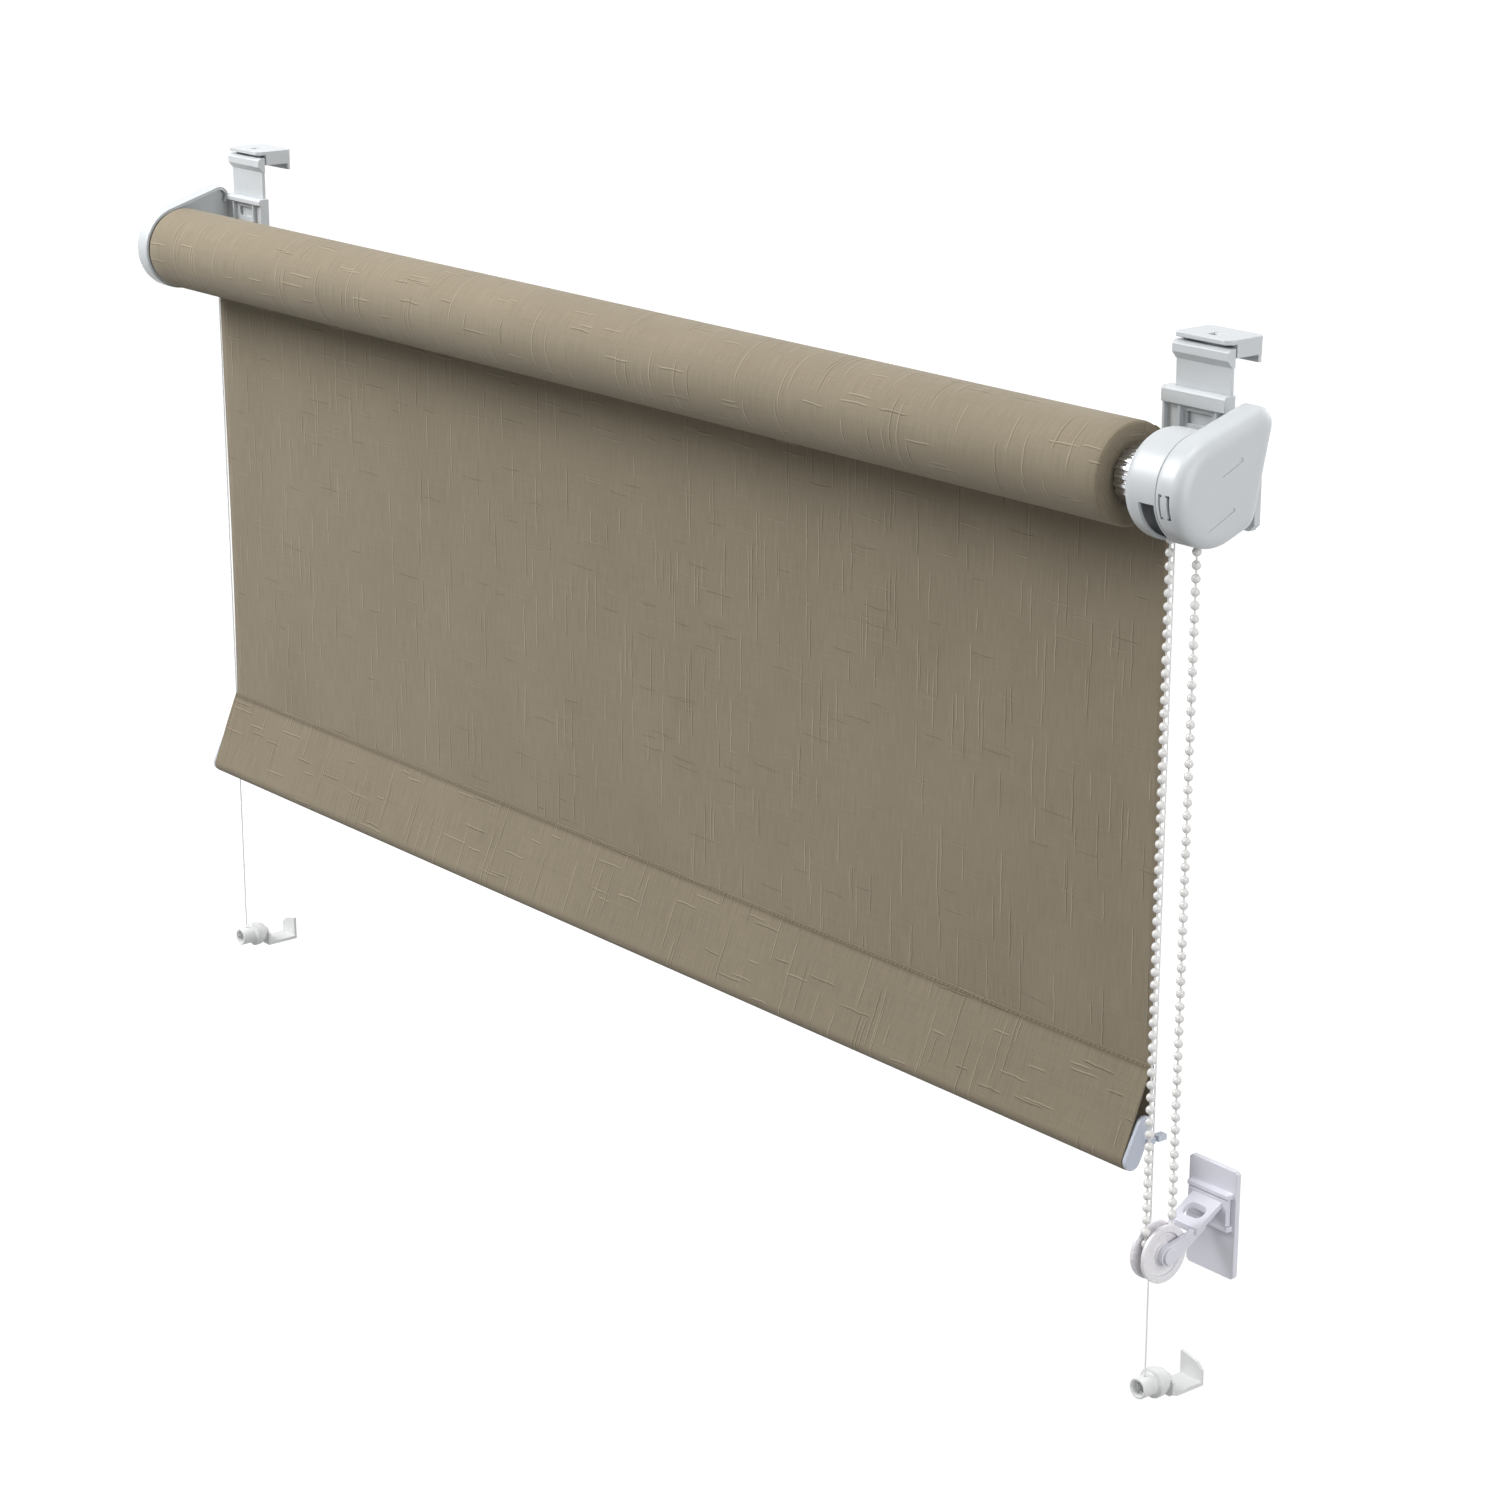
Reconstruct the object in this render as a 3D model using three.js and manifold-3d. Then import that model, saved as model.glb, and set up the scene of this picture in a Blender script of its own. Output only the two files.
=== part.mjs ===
// Mini roller blind that hooks over an opening window's sash, worked by a bead chain.
// Millimetres. +X runs along the roller to the chain side, +Y towards the window, +Z up.
// The pieces are placed round the roller's axis, and the whole is moved so that the origin
// lies on the sash's top front edge, midway along the fabric.
import * as THREE from "three";
import { mergeVertices } from "three/addons/utils/BufferGeometryUtils.js";
import Module from "manifold-3d";

const wasm = await Module();
wasm.setup();

// Clearances, cutting allowance and facet counts
const fit = 0.3;
const overrun = 6;
const weldDistance = 0.001;
const roundSides = 40;
const smallSides = 20;

// The window sash that the blind is made for
const sash = { behindDrum: 13.5, aboveLedge: 16, belowBar: 124.5, thickness: 17 };

// Fabric, its roll, and the tube with its locking channel
const fabric = { width: 800, drop: 281, thickness: 0.6, rollRadius: 23.5 };
const tube = { radius: 12.5, wall: 1.2, chainEnd: 1.5, idleEnd: 1.5 };
const channel = { width: 4, depth: 2.2 };
const spline = { clear: 0.3, below: 0.6 };

// Hem: the bar's two round edges, measured from the stitched seam
const bar = { radius: 4.2, wall: 1.2 };
const barEdges = { topForward: 5.6, topDown: 28.5, bottomForward: 13.1, bottomDown: 43.5 };
const hem = { wall: 0.8, seamHollow: 0.2 };
const railCap = { brim: 0.8, thickness: 2.2, tongueLength: 12 };
const prong = { height: 3, reach: 6.5, pastWire: 2.5 };

// Ball chain and the wheels that it runs on
const chain = { beads: 128, beadRadius: 2.15, cord: 1.7, cordRadius: 0.5 };
const groove = { play: 0.35, taper: 1.1, shoulder: 1.3, flange: 1.9 };
const sprocket = { hub: 2.02, rim: 3.73, sleeveWall: 1.9, endWall: 1.8 };

// Clutch spigot, brake springs and the plug that drives the tube
const core = { radius: 4, length: 50, flangeRadius: 11, flange: 1, chamfer: 0.8 };
const brake = { wire: 1, width: 3.2, apart: 0.4, start: 0.9, end: 1.5, slit: 1.2 };
const tang = { proud: 1.1, width: 0.9 };
const plug = { length: 22, chamfer: 1 };
const driveRing = { length: 13, proud: 2.5, flutes: 24, fluteDepth: 0.7, fluteWidth: 1.8 };
const idlePlug = { length: 25, flange: 1, floor: 1.4 };
const idlePin = { radius: 4, length: 14, flangeRadius: 8, flange: 1.1 };
const idleSpring = { inset: 0.4, wire: 1.2 };

// Drum that guards the chain wheel
const guard = { radius: 24.5, wall: 1.6, edge: 5, edgeSteps: 3, innerEdge: 4, standOff: 0.8 };
const guardSlot = { belowAxis: 4, pastBead: 2.08 };

// End brackets and their covers
const cover = { wall: 1.6, pastWall: 2.2, shoulder: 4.5, crown: 1, start: 1.2 };
const coverHorn = { radius: 6, up: 27.5, offPlate: 0.9 };
const coverHeel = { down: 11.5, radius: 8 };
const coverRing = { steps: 48, bendShare: 0.965, shoulderShare: 0.89 };
const coverCrown = { outerShare: 0.74, innerShare: 0.7 };
const coverCentreShares = [0.16, 0.1];
const coverSlot = { width: 1.1, apart: 4.8, in: 1.6, top: 1, length: 10 };
const coverGroove = { width: 0.9, depth: 0.6 };
const coverGrooveShares = [[0, 0.33, 0.5, 0.5], [-0.28, -0.57, 0.32, -0.3]];
const wall = { thickness: 2.5, armTop: 24, armBottom: -15, armFront: 20 };
const plate = { skin: 1.3, top: 26, bottom: -24, corner: 3 };
const ledge = { proud: 3.2, round: 1.2 };
const latch = { width: 15, height: 5.5, down: 8.5 };
const rib = { width: 1.4, proud: 2.2, apart: 11 };
const lug = { width: 4.4, thickness: 3, play: 0.4, inset: 1.4, beforeWire: 2.1 };
const clutchEnd = { hookPastRoll: 4.5, plateInset: 4, ledgeHeight: 7 };
const idleEnd = { hookPastRoll: -17.5, plateInset: 3, ledgeHeight: 3.4 };

// Sash hook: a strap with a tongue, and the cap that slides on the tongue
const strap = { halfWidth: 16.5, thickness: 2, below: 5.5, tongue: 2.8, tongueShort: 3 };
const tooth = { halfWidth: 2, length: 2, back: 6, travel: 4 };
const shoulder = { wider: 0.5, proud: 2.6, down: 4, round: 1.6 };
const pad = { thickness: 1.4, edge: 1.5, front: 0.6 };
const cap = { plate: 2.2, toothRoom: 1.5, skirt: 1.8, overhang: 0.2, corner: 2.5 };
const lip = { thickness: 2, drop: 4 };

// Guide wires, their stops, and the clips under the sash's lower edge
const wire = { radius: 0.4, stopRadius: 1.6, stopHeight: 3, stopClear: 0.4 };
const clip = { halfWidth: 7, wall: 1.6, floor: 2, front: 9, back: 12, slope: 2.5, corner: 3.5, play: 0.6 };
const barrel = { aboveFloor: 5.5, wall: 2, mouthStep: 0.7, mouthDeep: 3.5, reach: 5 };
const collar = { proud: 2.3, neck: 0.8, start: 3.5, land: 4 };
const stub = { radius: 2.9, tip: 1.5 };

// Chain tensioner: adhesive base plate, sloping arm, wheel and axle
const base = { width: 30, height: 54, thickness: 2.8, tape: 0.7, inset: 1, aboveAxle: 34.448, corner: 1.5 };
const rail = { inset: 2, height: 2.5, proud: 3.2, down: 11.5, apart: 16 };
const arm = { margin: 1.75, rootInset: 1, thickness: 3, offWheel: 1.5, drop: 9 };
const cheek = { thickness: 2.4, margin: 1 };
const armHole = { radius: 3.5, half: 2.5, front: 8 };
const wheel = { radius: 14, web: 0.5, hub: 2.7, rim: 3.5 };
const axle = { radius: 2.5, headProud: 1.5, head: 1.4 };

// Along the roller: its ends, the fluted ring, the drum, the chain's plane and the end walls
const rollEnd = fabric.width / 2;
const tubeEnd = rollEnd + tube.chainEnd;
const tubeIdleEnd = rollEnd + tube.idleEnd;
const ringStart = tubeEnd + fit;
const ringEnd = ringStart + driveRing.length;
const guardStart = ringEnd + guard.standOff;
const brakePitch = brake.width + brake.apart;
const brakeEnd = guardStart + brake.start + brakePitch + brake.width;
const grooveHalf = chain.beadRadius + groove.play;
const rimHalf = grooveHalf + groove.flange;
const chainX = brakeEnd + brake.end + sprocket.endWall + rimHalf;
const guardEnd = chainX + rimHalf + fit + core.flange;
const idlePlugEnd = tubeIdleEnd + fit + idlePlug.flange;
const idlePinEnd = idlePlugEnd + fit + idlePin.flange;
const idleCoverStart = rollEnd + cover.start;
const coverRim = idlePinEnd + fit + wall.thickness + cover.pastWall - idleCoverStart;
const wireX = rollEnd + wire.stopRadius + wire.stopClear;

// Out from the roller: radii that seat on one another
const tubeBore = tube.radius - tube.wall;
const coreBore = core.radius + fit;
const sleeveBore = coreBore + brake.wire + tang.proud + fit;
const sleeveRadius = sleeveBore + sprocket.sleeveWall;
const grooveFloor = coreBore + sprocket.hub;
const chainRadius = grooveFloor + chain.beadRadius + fit;
const chainPitch = 2 * chain.beadRadius + chain.cord;
const sheetMid = fabric.rollRadius + fit + fabric.thickness / 2;
const wireY = guard.radius;
const sashY = guard.radius + sash.behindDrum;
const plateY = sashY - strap.thickness - fit - plate.skin;
const shoulderFront = sashY - strap.thickness - shoulder.proud;
const hookHalf = strap.halfWidth + shoulder.wider;

// Up and down: the sash's edges, the hooks on it, the chain's lower wheel and the hem
const sashTop = plate.top + clutchEnd.ledgeHeight + sash.aboveLedge;
const sashFoot = -fabric.drop - barEdges.bottomDown - sash.belowBar;
const tongueTop = sashTop + pad.thickness + fit + strap.tongue;
const capTop = tongueTop + cap.toothRoom + cap.plate;
const barrelZ = sashFoot + barrel.aboveFloor;
const barrelBore = stub.radius + fit;
const barrelRadius = barrelBore + barrel.wall;
const wheelDrop = (chain.beads * chainPitch) / 2 - Math.PI * chainRadius;
const baseTop = base.aboveAxle - wheelDrop;
const seamRadius = hem.wall + hem.seamHollow;

// Finishes
function finish(color, roughness, metalness = 0) {
  return new THREE.MeshStandardMaterial({ color, roughness, metalness });
}
const whitePlastic = () => finish(0xdfe3e6, 0.35);
const clearPlastic = () => finish(0xe9ebec, 0.25);
const steel = () => finish(0xa9acb0, 0.35, 1);
const linen = () => finish(0x8f8371, 0.9);

// A closed manifold solid of a three.js geometry, turned right side out.
function solid(geometry) {
  const loose = geometry.index ? geometry.toNonIndexed() : geometry;
  const bare = new THREE.BufferGeometry().setAttribute("position", loose.getAttribute("position"));
  const merged = mergeVertices(bare, weldDistance);
  const corners = [];
  for (let i = 0; i < merged.index.count; i += 3) {
    const [a, b, c] = merged.index.array.subarray(i, i + 3);
    if (a !== b && b !== c && c !== a) corners.push(a, b, c);
  }
  const vertProperties = merged.attributes.position.array;
  const facing = (triVerts) => new wasm.Manifold(new wasm.Mesh({ numProp: 3, vertProperties, triVerts }));
  const made = facing(new Uint32Array(corners));
  if (made.volume() > 0) return made;
  return facing(new Uint32Array(corners.reverse()));
}

function geometryOf(manifold) {
  const mesh = manifold.getMesh();
  const geometry = new THREE.BufferGeometry();
  geometry.setAttribute("position", new THREE.BufferAttribute(mesh.vertProperties, 3));
  geometry.setIndex(new THREE.BufferAttribute(mesh.triVerts, 1));
  return geometry;
}

const join = (first, ...others) => others.reduce((sum, other) => sum.add(other), first);
const cut = (first, ...others) => others.reduce((rest, other) => rest.subtract(other), first);

// The mirror image across the middle of the blind.
const mirrored = (manifold) => solid(geometryOf(manifold).scale(-1, 1, 1));

function block(x0, x1, y0, y1, z0, z1) {
  const box = new THREE.BoxGeometry(x1 - x0, y1 - y0, z1 - z0);
  return solid(box.translate((x0 + x1) / 2, (y0 + y1) / 2, (z0 + z1) / 2));
}

const axisX = new THREE.Vector3(1, 0, 0);
const axisY = new THREE.Vector3(0, 1, 0);
const axisZ = new THREE.Vector3(0, 0, 1);

// Prisms: an outline of [y, z], [x, z] or [x, y] points carried along the remaining axis.
function prism(outline, depth) {
  const shape = new THREE.Shape(outline.map(([a, b]) => new THREE.Vector2(a, b)));
  return new THREE.ExtrudeGeometry(shape, { depth, bevelEnabled: false, steps: 1 });
}
function prismX(outline, x0, x1) {
  const basis = new THREE.Matrix4().makeBasis(axisY, axisZ, axisX);
  return solid(prism(outline, x1 - x0).applyMatrix4(basis).translate(x0, 0, 0));
}
function prismY(outline, y0, y1) {
  const basis = new THREE.Matrix4().makeBasis(axisX, axisZ, axisY);
  return solid(prism(outline, y1 - y0).applyMatrix4(basis).translate(0, y0, 0));
}
function prismZ(outline, z0, z1) {
  return solid(prism(outline, z1 - z0).translate(0, 0, z0));
}

// A solid turned about X, through (y, z): the profile's points are [x, radius], going round once.
function turned(profile, sides = roundSides, y = 0, z = 0) {
  const points = [...profile, profile[0]].map(([x, r]) => new THREE.Vector2(r, x));
  return solid(new THREE.LatheGeometry(points, sides).rotateZ(-Math.PI / 2).translate(0, y, z));
}
// The same about Y, through (x, z), with [y, radius] points.
function turnedAlongY(profile, x, z, sides = smallSides) {
  const points = [...profile, profile[0]].map(([y, r]) => new THREE.Vector2(r, y));
  return solid(new THREE.LatheGeometry(points, sides).translate(x, 0, z));
}
// A plain round rod along Z.
function rodZ(x, y, z0, z1, radius, sides = smallSides) {
  const rod = new THREE.CylinderGeometry(radius, radius, z1 - z0, sides).rotateX(Math.PI / 2);
  return solid(rod.translate(x, y, (z0 + z1) / 2));
}

// A rectangle with its corners cut off.
function cutRectangle(a0, a1, b0, b1, corner) {
  return [
    [a0 + corner, b0], [a1 - corner, b0], [a1, b0 + corner], [a1, b1 - corner],
    [a1 - corner, b1], [a0 + corner, b1], [a0, b1 - corner], [a0, b0 + corner],
  ];
}

// The ring round a group of circles [y, z, radius], as a belt drawn tight round them:
// in each direction it touches the circle that reaches furthest.
function belt(circles, steps, grow = 0) {
  return Array.from({ length: steps }, (_, i) => {
    const turn = (2 * Math.PI * i) / steps;
    const reach = ([y, z, r]) => y * Math.cos(turn) + z * Math.sin(turn) + r;
    const [y, z, r] = circles.reduce((best, next) => (reach(next) > reach(best) ? next : best));
    return [y + (r + grow) * Math.cos(turn), z + (r + grow) * Math.sin(turn)];
  });
}
function shrunk(ring, [cy, cz], share) {
  return ring.map(([y, z]) => [cy + (y - cy) * share, cz + (z - cz) * share]);
}

// A solid through rings of equal count, each at its own x.
function lofted(sections) {
  const count = sections[0][1].length;
  const points = sections.flatMap(([x, ring]) => ring.flatMap(([y, z]) => [x, y, z]));
  const faces = [];
  for (let s = 0; s + 1 < sections.length; s++)
    for (let i = 0; i < count; i++) {
      const a = s * count + i;
      const b = s * count + ((i + 1) % count);
      faces.push(a, b, b + count, a, b + count, a + count);
    }
  const last = (sections.length - 1) * count;
  for (let i = 1; i + 1 < count; i++) faces.push(0, i + 1, i, last, last + i, last + i + 1);
  const geometry = new THREE.BufferGeometry();
  geometry.setAttribute("position", new THREE.Float32BufferAttribute(points, 3));
  geometry.setIndex(faces);
  return solid(geometry);
}

const blind = new THREE.Group();
const byAxis = new THREE.Group();
byAxis.position.set(0, -sashY, -sashTop);
blind.add(byAxis);

function addPiece(name, manifold, material) {
  const mesh = new THREE.Mesh(geometryOf(manifold), material);
  mesh.name = name;
  byAxis.add(mesh);
}

// Tube with a channel along its top, its wall folded inwards round the channel.
function rollerTube() {
  const ring = turned([
    [-tubeIdleEnd, tubeBore], [-tubeIdleEnd, tube.radius], [tubeEnd, tube.radius], [tubeEnd, tubeBore],
  ]);
  const half = channel.width / 2;
  const floor = tube.radius - channel.depth;
  const foldHalf = half + tube.wall;
  const fold = block(-tubeIdleEnd, tubeEnd, -foldHalf, foldHalf, floor - tube.wall, tubeBore + fit);
  return cut(
    join(ring, fold),
    block(-tubeIdleEnd - overrun, tubeEnd + overrun, -half, half, floor, tube.radius + overrun),
  );
}

// The fold of the tube's channel, with room round it, as cut out of the plugs.
function channelRoom(x0, x1) {
  const half = channel.width / 2 + tube.wall + fit;
  const floor = tube.radius - channel.depth - tube.wall - fit;
  return block(x0, x1, -half, half, floor, tube.radius + overrun);
}

function fabricSpline() {
  const half = channel.width / 2 - spline.clear;
  const floor = tube.radius - channel.depth + spline.clear;
  return block(-rollEnd, rollEnd, -half, half, floor, tube.radius - spline.below);
}

function fabricRoll() {
  const bore = tube.radius + fit;
  const outer = fabric.rollRadius;
  return turned([[-rollEnd, bore], [-rollEnd, outer], [rollEnd, outer], [rollEnd, bore]]);
}

// Drive plug: fits the tube, with a fluted ring that shows between the roll and the drum.
function drivePlug() {
  const radius = tube.radius + driveRing.proud;
  const body = tubeBore - fit;
  let made = turned([
    [tubeEnd - plug.length, coreBore], [tubeEnd - plug.length, body - plug.chamfer],
    [tubeEnd - plug.length + plug.chamfer, body], [ringStart, body], [ringStart, radius],
    [ringEnd, radius], [ringEnd, coreBore],
  ]);
  made = cut(made, channelRoom(tubeEnd - plug.length - overrun, ringStart));
  for (let i = 0; i < driveRing.flutes; i++) {
    const flute = new THREE.BoxGeometry(driveRing.length, driveRing.fluteWidth, driveRing.fluteDepth * 2);
    flute.translate(ringStart + driveRing.length / 2 + plug.chamfer, 0, radius);
    flute.rotateX((2 * Math.PI * i) / driveRing.flutes);
    made = cut(made, solid(flute));
  }
  return made;
}

function clutchCore() {
  const start = guardEnd - core.length;
  return turned([
    [start, 0], [start, core.radius - core.chamfer], [start + core.chamfer, core.radius],
    [guardEnd - core.flange, core.radius], [guardEnd - core.flange, core.flangeRadius],
    [guardEnd, core.flangeRadius], [guardEnd, 0],
  ], smallSides);
}

// Brake spring: a split band round the spigot with one tang.
function brakeSpring(index) {
  const x0 = guardStart + brake.start + index * brakePitch;
  const inner = coreBore;
  const outer = inner + brake.wire;
  const x1 = x0 + brake.width;
  const band = turned([[x0, inner], [x0, outer], [x1, outer], [x1, inner]], smallSides);
  const split = block(x0 - fit, x1 + fit, -brake.slit / 2, brake.slit / 2, 0, outer + overrun);
  const foot = block(
    x0, x0 + tang.width, brake.slit / 2, brake.slit / 2 + tang.width, inner + brake.wire / 2,
    outer + tang.proud,
  );
  return join(cut(band, split), foot);
}

// Half of a grooved rim's profile on one side of the chain's plane, from the rim in to the groove's floor.
function grooveSide(x, side, radius) {
  return [
    [x + side * grooveHalf, radius], [x + side * grooveHalf, grooveFloor + groove.shoulder],
    [x + side * (grooveHalf - groove.taper), grooveFloor],
  ];
}

// Chain wheel with a sleeve that reaches over the brake springs to the drive plug.
function chainSprocket() {
  const radius = chainRadius + sprocket.rim;
  const sleeveEnd = chainX - rimHalf;
  return turned([
    [chainX + rimHalf, coreBore], [chainX + rimHalf, radius],
    ...grooveSide(chainX, 1, radius), ...grooveSide(chainX, -1, radius).reverse(),
    [sleeveEnd, radius], [sleeveEnd, sleeveRadius],
    [ringEnd + fit, sleeveRadius], [ringEnd + fit, sleeveBore],
    [sleeveEnd - sprocket.endWall, sleeveBore], [sleeveEnd - sprocket.endWall, coreBore],
  ]);
}

// Drum round the chain wheel, slotted below and in front where the chain runs in and out.
function chainGuard() {
  const hole = sleeveRadius + fit * 2;
  const inside = guard.radius - guard.wall;
  const innerStart = guardStart + guard.wall;
  const roundEdge = Array.from({ length: guard.edgeSteps + 1 }, (_, i) => {
    const turn = (Math.PI * i) / (2 * guard.edgeSteps);
    const x = guardStart + guard.edge * (1 - Math.cos(turn));
    return [x, guard.radius - guard.edge * (1 - Math.sin(turn))];
  });
  const drum = turned([
    [guardStart, hole], ...roundEdge, [guardEnd, guard.radius], [guardEnd, inside],
    [innerStart + guard.innerEdge, inside], [innerStart, inside - guard.innerEdge], [innerStart, hole],
  ], coverRing.steps);
  const half = rimHalf + fit;
  const reach = guard.radius + overrun;
  const back = chainRadius + chain.beadRadius + guardSlot.pastBead;
  return cut(drum, block(chainX - half, chainX + half, -reach, back, -reach, -guardSlot.belowAxis));
}

// The covers' outline: round the axis, with a horn up at the back and a squared heel below.
const coverCircles = [
  [0, 0, guard.radius],
  [plateY - coverHorn.offPlate - coverHorn.radius, coverHorn.up, coverHorn.radius],
  [guard.radius - coverHeel.radius, -coverHeel.down, coverHeel.radius],
];
const coverCentre = coverCentreShares.map((share) => share * guard.radius);

// Dished cover from x0 outwards, open on its inner side and notched for the bracket's arm.
function dishedCover(x0, wallX) {
  const outer = belt(coverCircles, coverRing.steps);
  const inner = belt(coverCircles, coverRing.steps, -cover.wall);
  const rimEnd = x0 + coverRim;
  const shoulderEnd = rimEnd + cover.shoulder;
  const face = shoulderEnd + cover.wall + cover.crown;
  const shell = lofted([
    [x0, outer], [rimEnd, outer],
    [rimEnd + cover.shoulder / 2, shrunk(outer, coverCentre, coverRing.bendShare)],
    [shoulderEnd, shrunk(outer, coverCentre, coverRing.shoulderShare)],
    [face, shrunk(outer, coverCentre, coverCrown.outerShare)],
  ]);
  const hollow = lofted([
    [x0 - overrun, inner], [rimEnd, inner],
    [shoulderEnd - fit, shrunk(inner, coverCentre, coverRing.shoulderShare)],
    [face - cover.wall, shrunk(inner, coverCentre, coverCrown.innerShare)],
  ]);
  const armNotch = block(
    x0 - overrun, wallX + wall.thickness + fit, wall.armFront, sashY + overrun,
    wall.armBottom - fit, wall.armTop + fit,
  );
  return cut(shell, hollow, armNotch);
}

// Two snap slots in the front wall and two slanting grooves in the face.
function clutchCover() {
  const x0 = guardEnd + fit / 2;
  const face = x0 + coverRim + cover.shoulder + cover.wall + cover.crown;
  let made = dishedCover(x0, clutchSide.wallX);
  for (let i = 0; i < 2; i++) {
    const x = x0 + coverSlot.in + i * coverSlot.apart;
    const back = cover.wall * 2 - guard.radius;
    const slot = block(
      x, x + coverSlot.width, -guard.radius - overrun, back, coverSlot.top - coverSlot.length, coverSlot.top,
    );
    made = cut(made, slot);
  }
  for (const shares of coverGrooveShares) {
    const [y0, z0, y1, z1] = shares.map((share) => share * guard.radius);
    const length = Math.hypot(y1 - y0, z1 - z0);
    const line = new THREE.BoxGeometry(coverGroove.depth * 2, length, coverGroove.width);
    line.rotateX(Math.atan2(z1 - z0, y1 - y0)).translate(face, (y0 + y1) / 2, (z0 + z1) / 2);
    made = cut(made, solid(line));
  }
  return made;
}

// Where each end's hook, plate and side wall stand.
function placesOf(end, wallX) {
  const hookX = rollEnd + end.hookPastRoll;
  const plateInner = hookX - strap.halfWidth - end.plateInset;
  return { hookX, wallX, plateInner, ledgeHeight: end.ledgeHeight };
}
const clutchSide = placesOf(clutchEnd, guardEnd + fit);
const idleSide = placesOf(idleEnd, idlePinEnd + fit);

// Bracket on the +X side: ribbed back plate on the sash, ledge that takes the strap, side wall inside
// the cover, and a lug for the guide wire.
function endBracket({ hookX, plateInner, wallX, ledgeHeight }) {
  const face = sashY;
  const front = plateY;
  const outer = wallX + wall.thickness;
  const ledgeFront = front - ledge.proud;
  const ledgeTop = plate.top + ledgeHeight;
  const back = prismY(cutRectangle(plateInner, outer, plate.bottom, plate.top, plate.corner), front, face);
  const ledgeOutline = [
    [face, plate.top - plate.corner], [front, plate.top - plate.corner], [front, plate.top - ledge.round],
    [ledgeFront, plate.top], [ledgeFront, ledgeTop - ledge.round], [ledgeFront + ledge.round, ledgeTop],
    [face, ledgeTop],
  ];
  const top = prismX(ledgeOutline, plateInner, hookX + strap.halfWidth + ledge.round);
  const side = prismX(belt(coverCircles, coverRing.steps, -cover.wall - fit), wallX, outer);
  const sideArm = block(wallX, outer, wall.armFront, face, wall.armBottom, wall.armTop);
  const lugX = wireX - lug.inset;
  const wireLug = block(
    lugX, lugX + lug.width, wireY - lug.beforeWire, front + fit, plate.bottom, plate.bottom + lug.thickness,
  );
  const ribs = [plateInner, hookX - rib.apart, hookX + rib.apart].map((x) => block(
    x, x + rib.width, front - rib.proud, front + fit, plate.bottom + plate.corner, plate.top + fit,
  ));
  const strapRoom = block(
    hookX - strap.halfWidth - fit, hookX + strap.halfWidth + fit,
    face - strap.thickness - fit, face + overrun, -strap.below - fit, ledgeTop + overrun,
  );
  const latchFoot = plate.top - latch.down;
  const latchHole = block(
    hookX - latch.width / 2, hookX + latch.width / 2, front - overrun, face,
    latchFoot, latchFoot + latch.height,
  );
  const lugTop = plate.bottom + lug.thickness;
  const wireHole = rodZ(wireX, wireY, plate.bottom - overrun, lugTop + overrun, wire.radius + lug.play);
  return cut(join(back, top, side, sideArm, wireLug, ...ribs), strapRoom, latchHole, wireHole);
}

function idlePinSolid() {
  const shank = idlePinEnd - idlePin.flange;
  return turned([
    [shank - idlePin.length, 0], [shank - idlePin.length, idlePin.radius], [shank, idlePin.radius],
    [shank, idlePin.flangeRadius], [idlePinEnd, idlePin.flangeRadius], [idlePinEnd, 0],
  ], smallSides);
}

function idlePlugSolid() {
  const start = idlePlugEnd - idlePlug.length;
  const bore = idlePin.radius + fit;
  const body = tubeBore - fit;
  const made = turned([
    [start, 0], [start, body - plug.chamfer], [start + plug.chamfer, body],
    [tubeIdleEnd + fit, body], [tubeIdleEnd + fit, tube.radius],
    [idlePlugEnd, tube.radius], [idlePlugEnd, bore],
    [start + idlePlug.floor, bore], [start + idlePlug.floor, 0],
  ], smallSides);
  return cut(made, channelRoom(start - overrun, tubeIdleEnd + fit));
}

// Spring that pushes the idle pin out, as a plain sleeve in the plug's bore.
function idleSpringSolid() {
  const x0 = idlePlugEnd - idlePlug.length + idlePlug.floor + fit;
  const x1 = idlePinEnd - idlePin.flange - idlePin.length - fit;
  const outer = idlePin.radius - idleSpring.inset;
  const inner = outer - idleSpring.wire;
  return turned([[x0, inner], [x0, outer], [x1, outer], [x1, inner]], smallSides);
}

// Strap down the sash's face, with a rounded shoulder and a tongue back over the sash. The tongue's
// tooth stands in the cap's window.
function hookStrap(x) {
  const face = sashY;
  const front = shoulderFront;
  const blade = block(
    x - strap.halfWidth, x + strap.halfWidth, face - strap.thickness, face,
    -strap.below, sashTop - shoulder.down + fit,
  );
  const bend = prismX([
    [face, sashTop - shoulder.down], [face - strap.thickness, sashTop - shoulder.down],
    [front, sashTop - shoulder.down + shoulder.round * 2], [front, tongueTop - shoulder.round],
    [front + shoulder.round, tongueTop], [face, tongueTop],
  ], x - hookHalf, x + hookHalf);
  const half = hookHalf - cap.skirt - fit;
  const tongueEnd = face + sash.thickness - strap.tongueShort;
  const tongue = block(x - half, x + half, face - fit, tongueEnd, tongueTop - strap.tongue, tongueTop);
  const stop = block(
    x - tooth.halfWidth, x + tooth.halfWidth, face + tooth.back, face + tooth.back + tooth.length,
    tongueTop - fit, capTop - fit,
  );
  return join(blade, bend, tongue, stop);
}

function hookPad(x) {
  const half = hookHalf - cap.skirt - pad.edge - fit;
  const y0 = sashY + pad.front;
  const y1 = sashY + sash.thickness - strap.tongueShort - pad.front;
  return block(x - half, x + half, y0, y1, sashTop, sashTop + pad.thickness);
}

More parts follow.
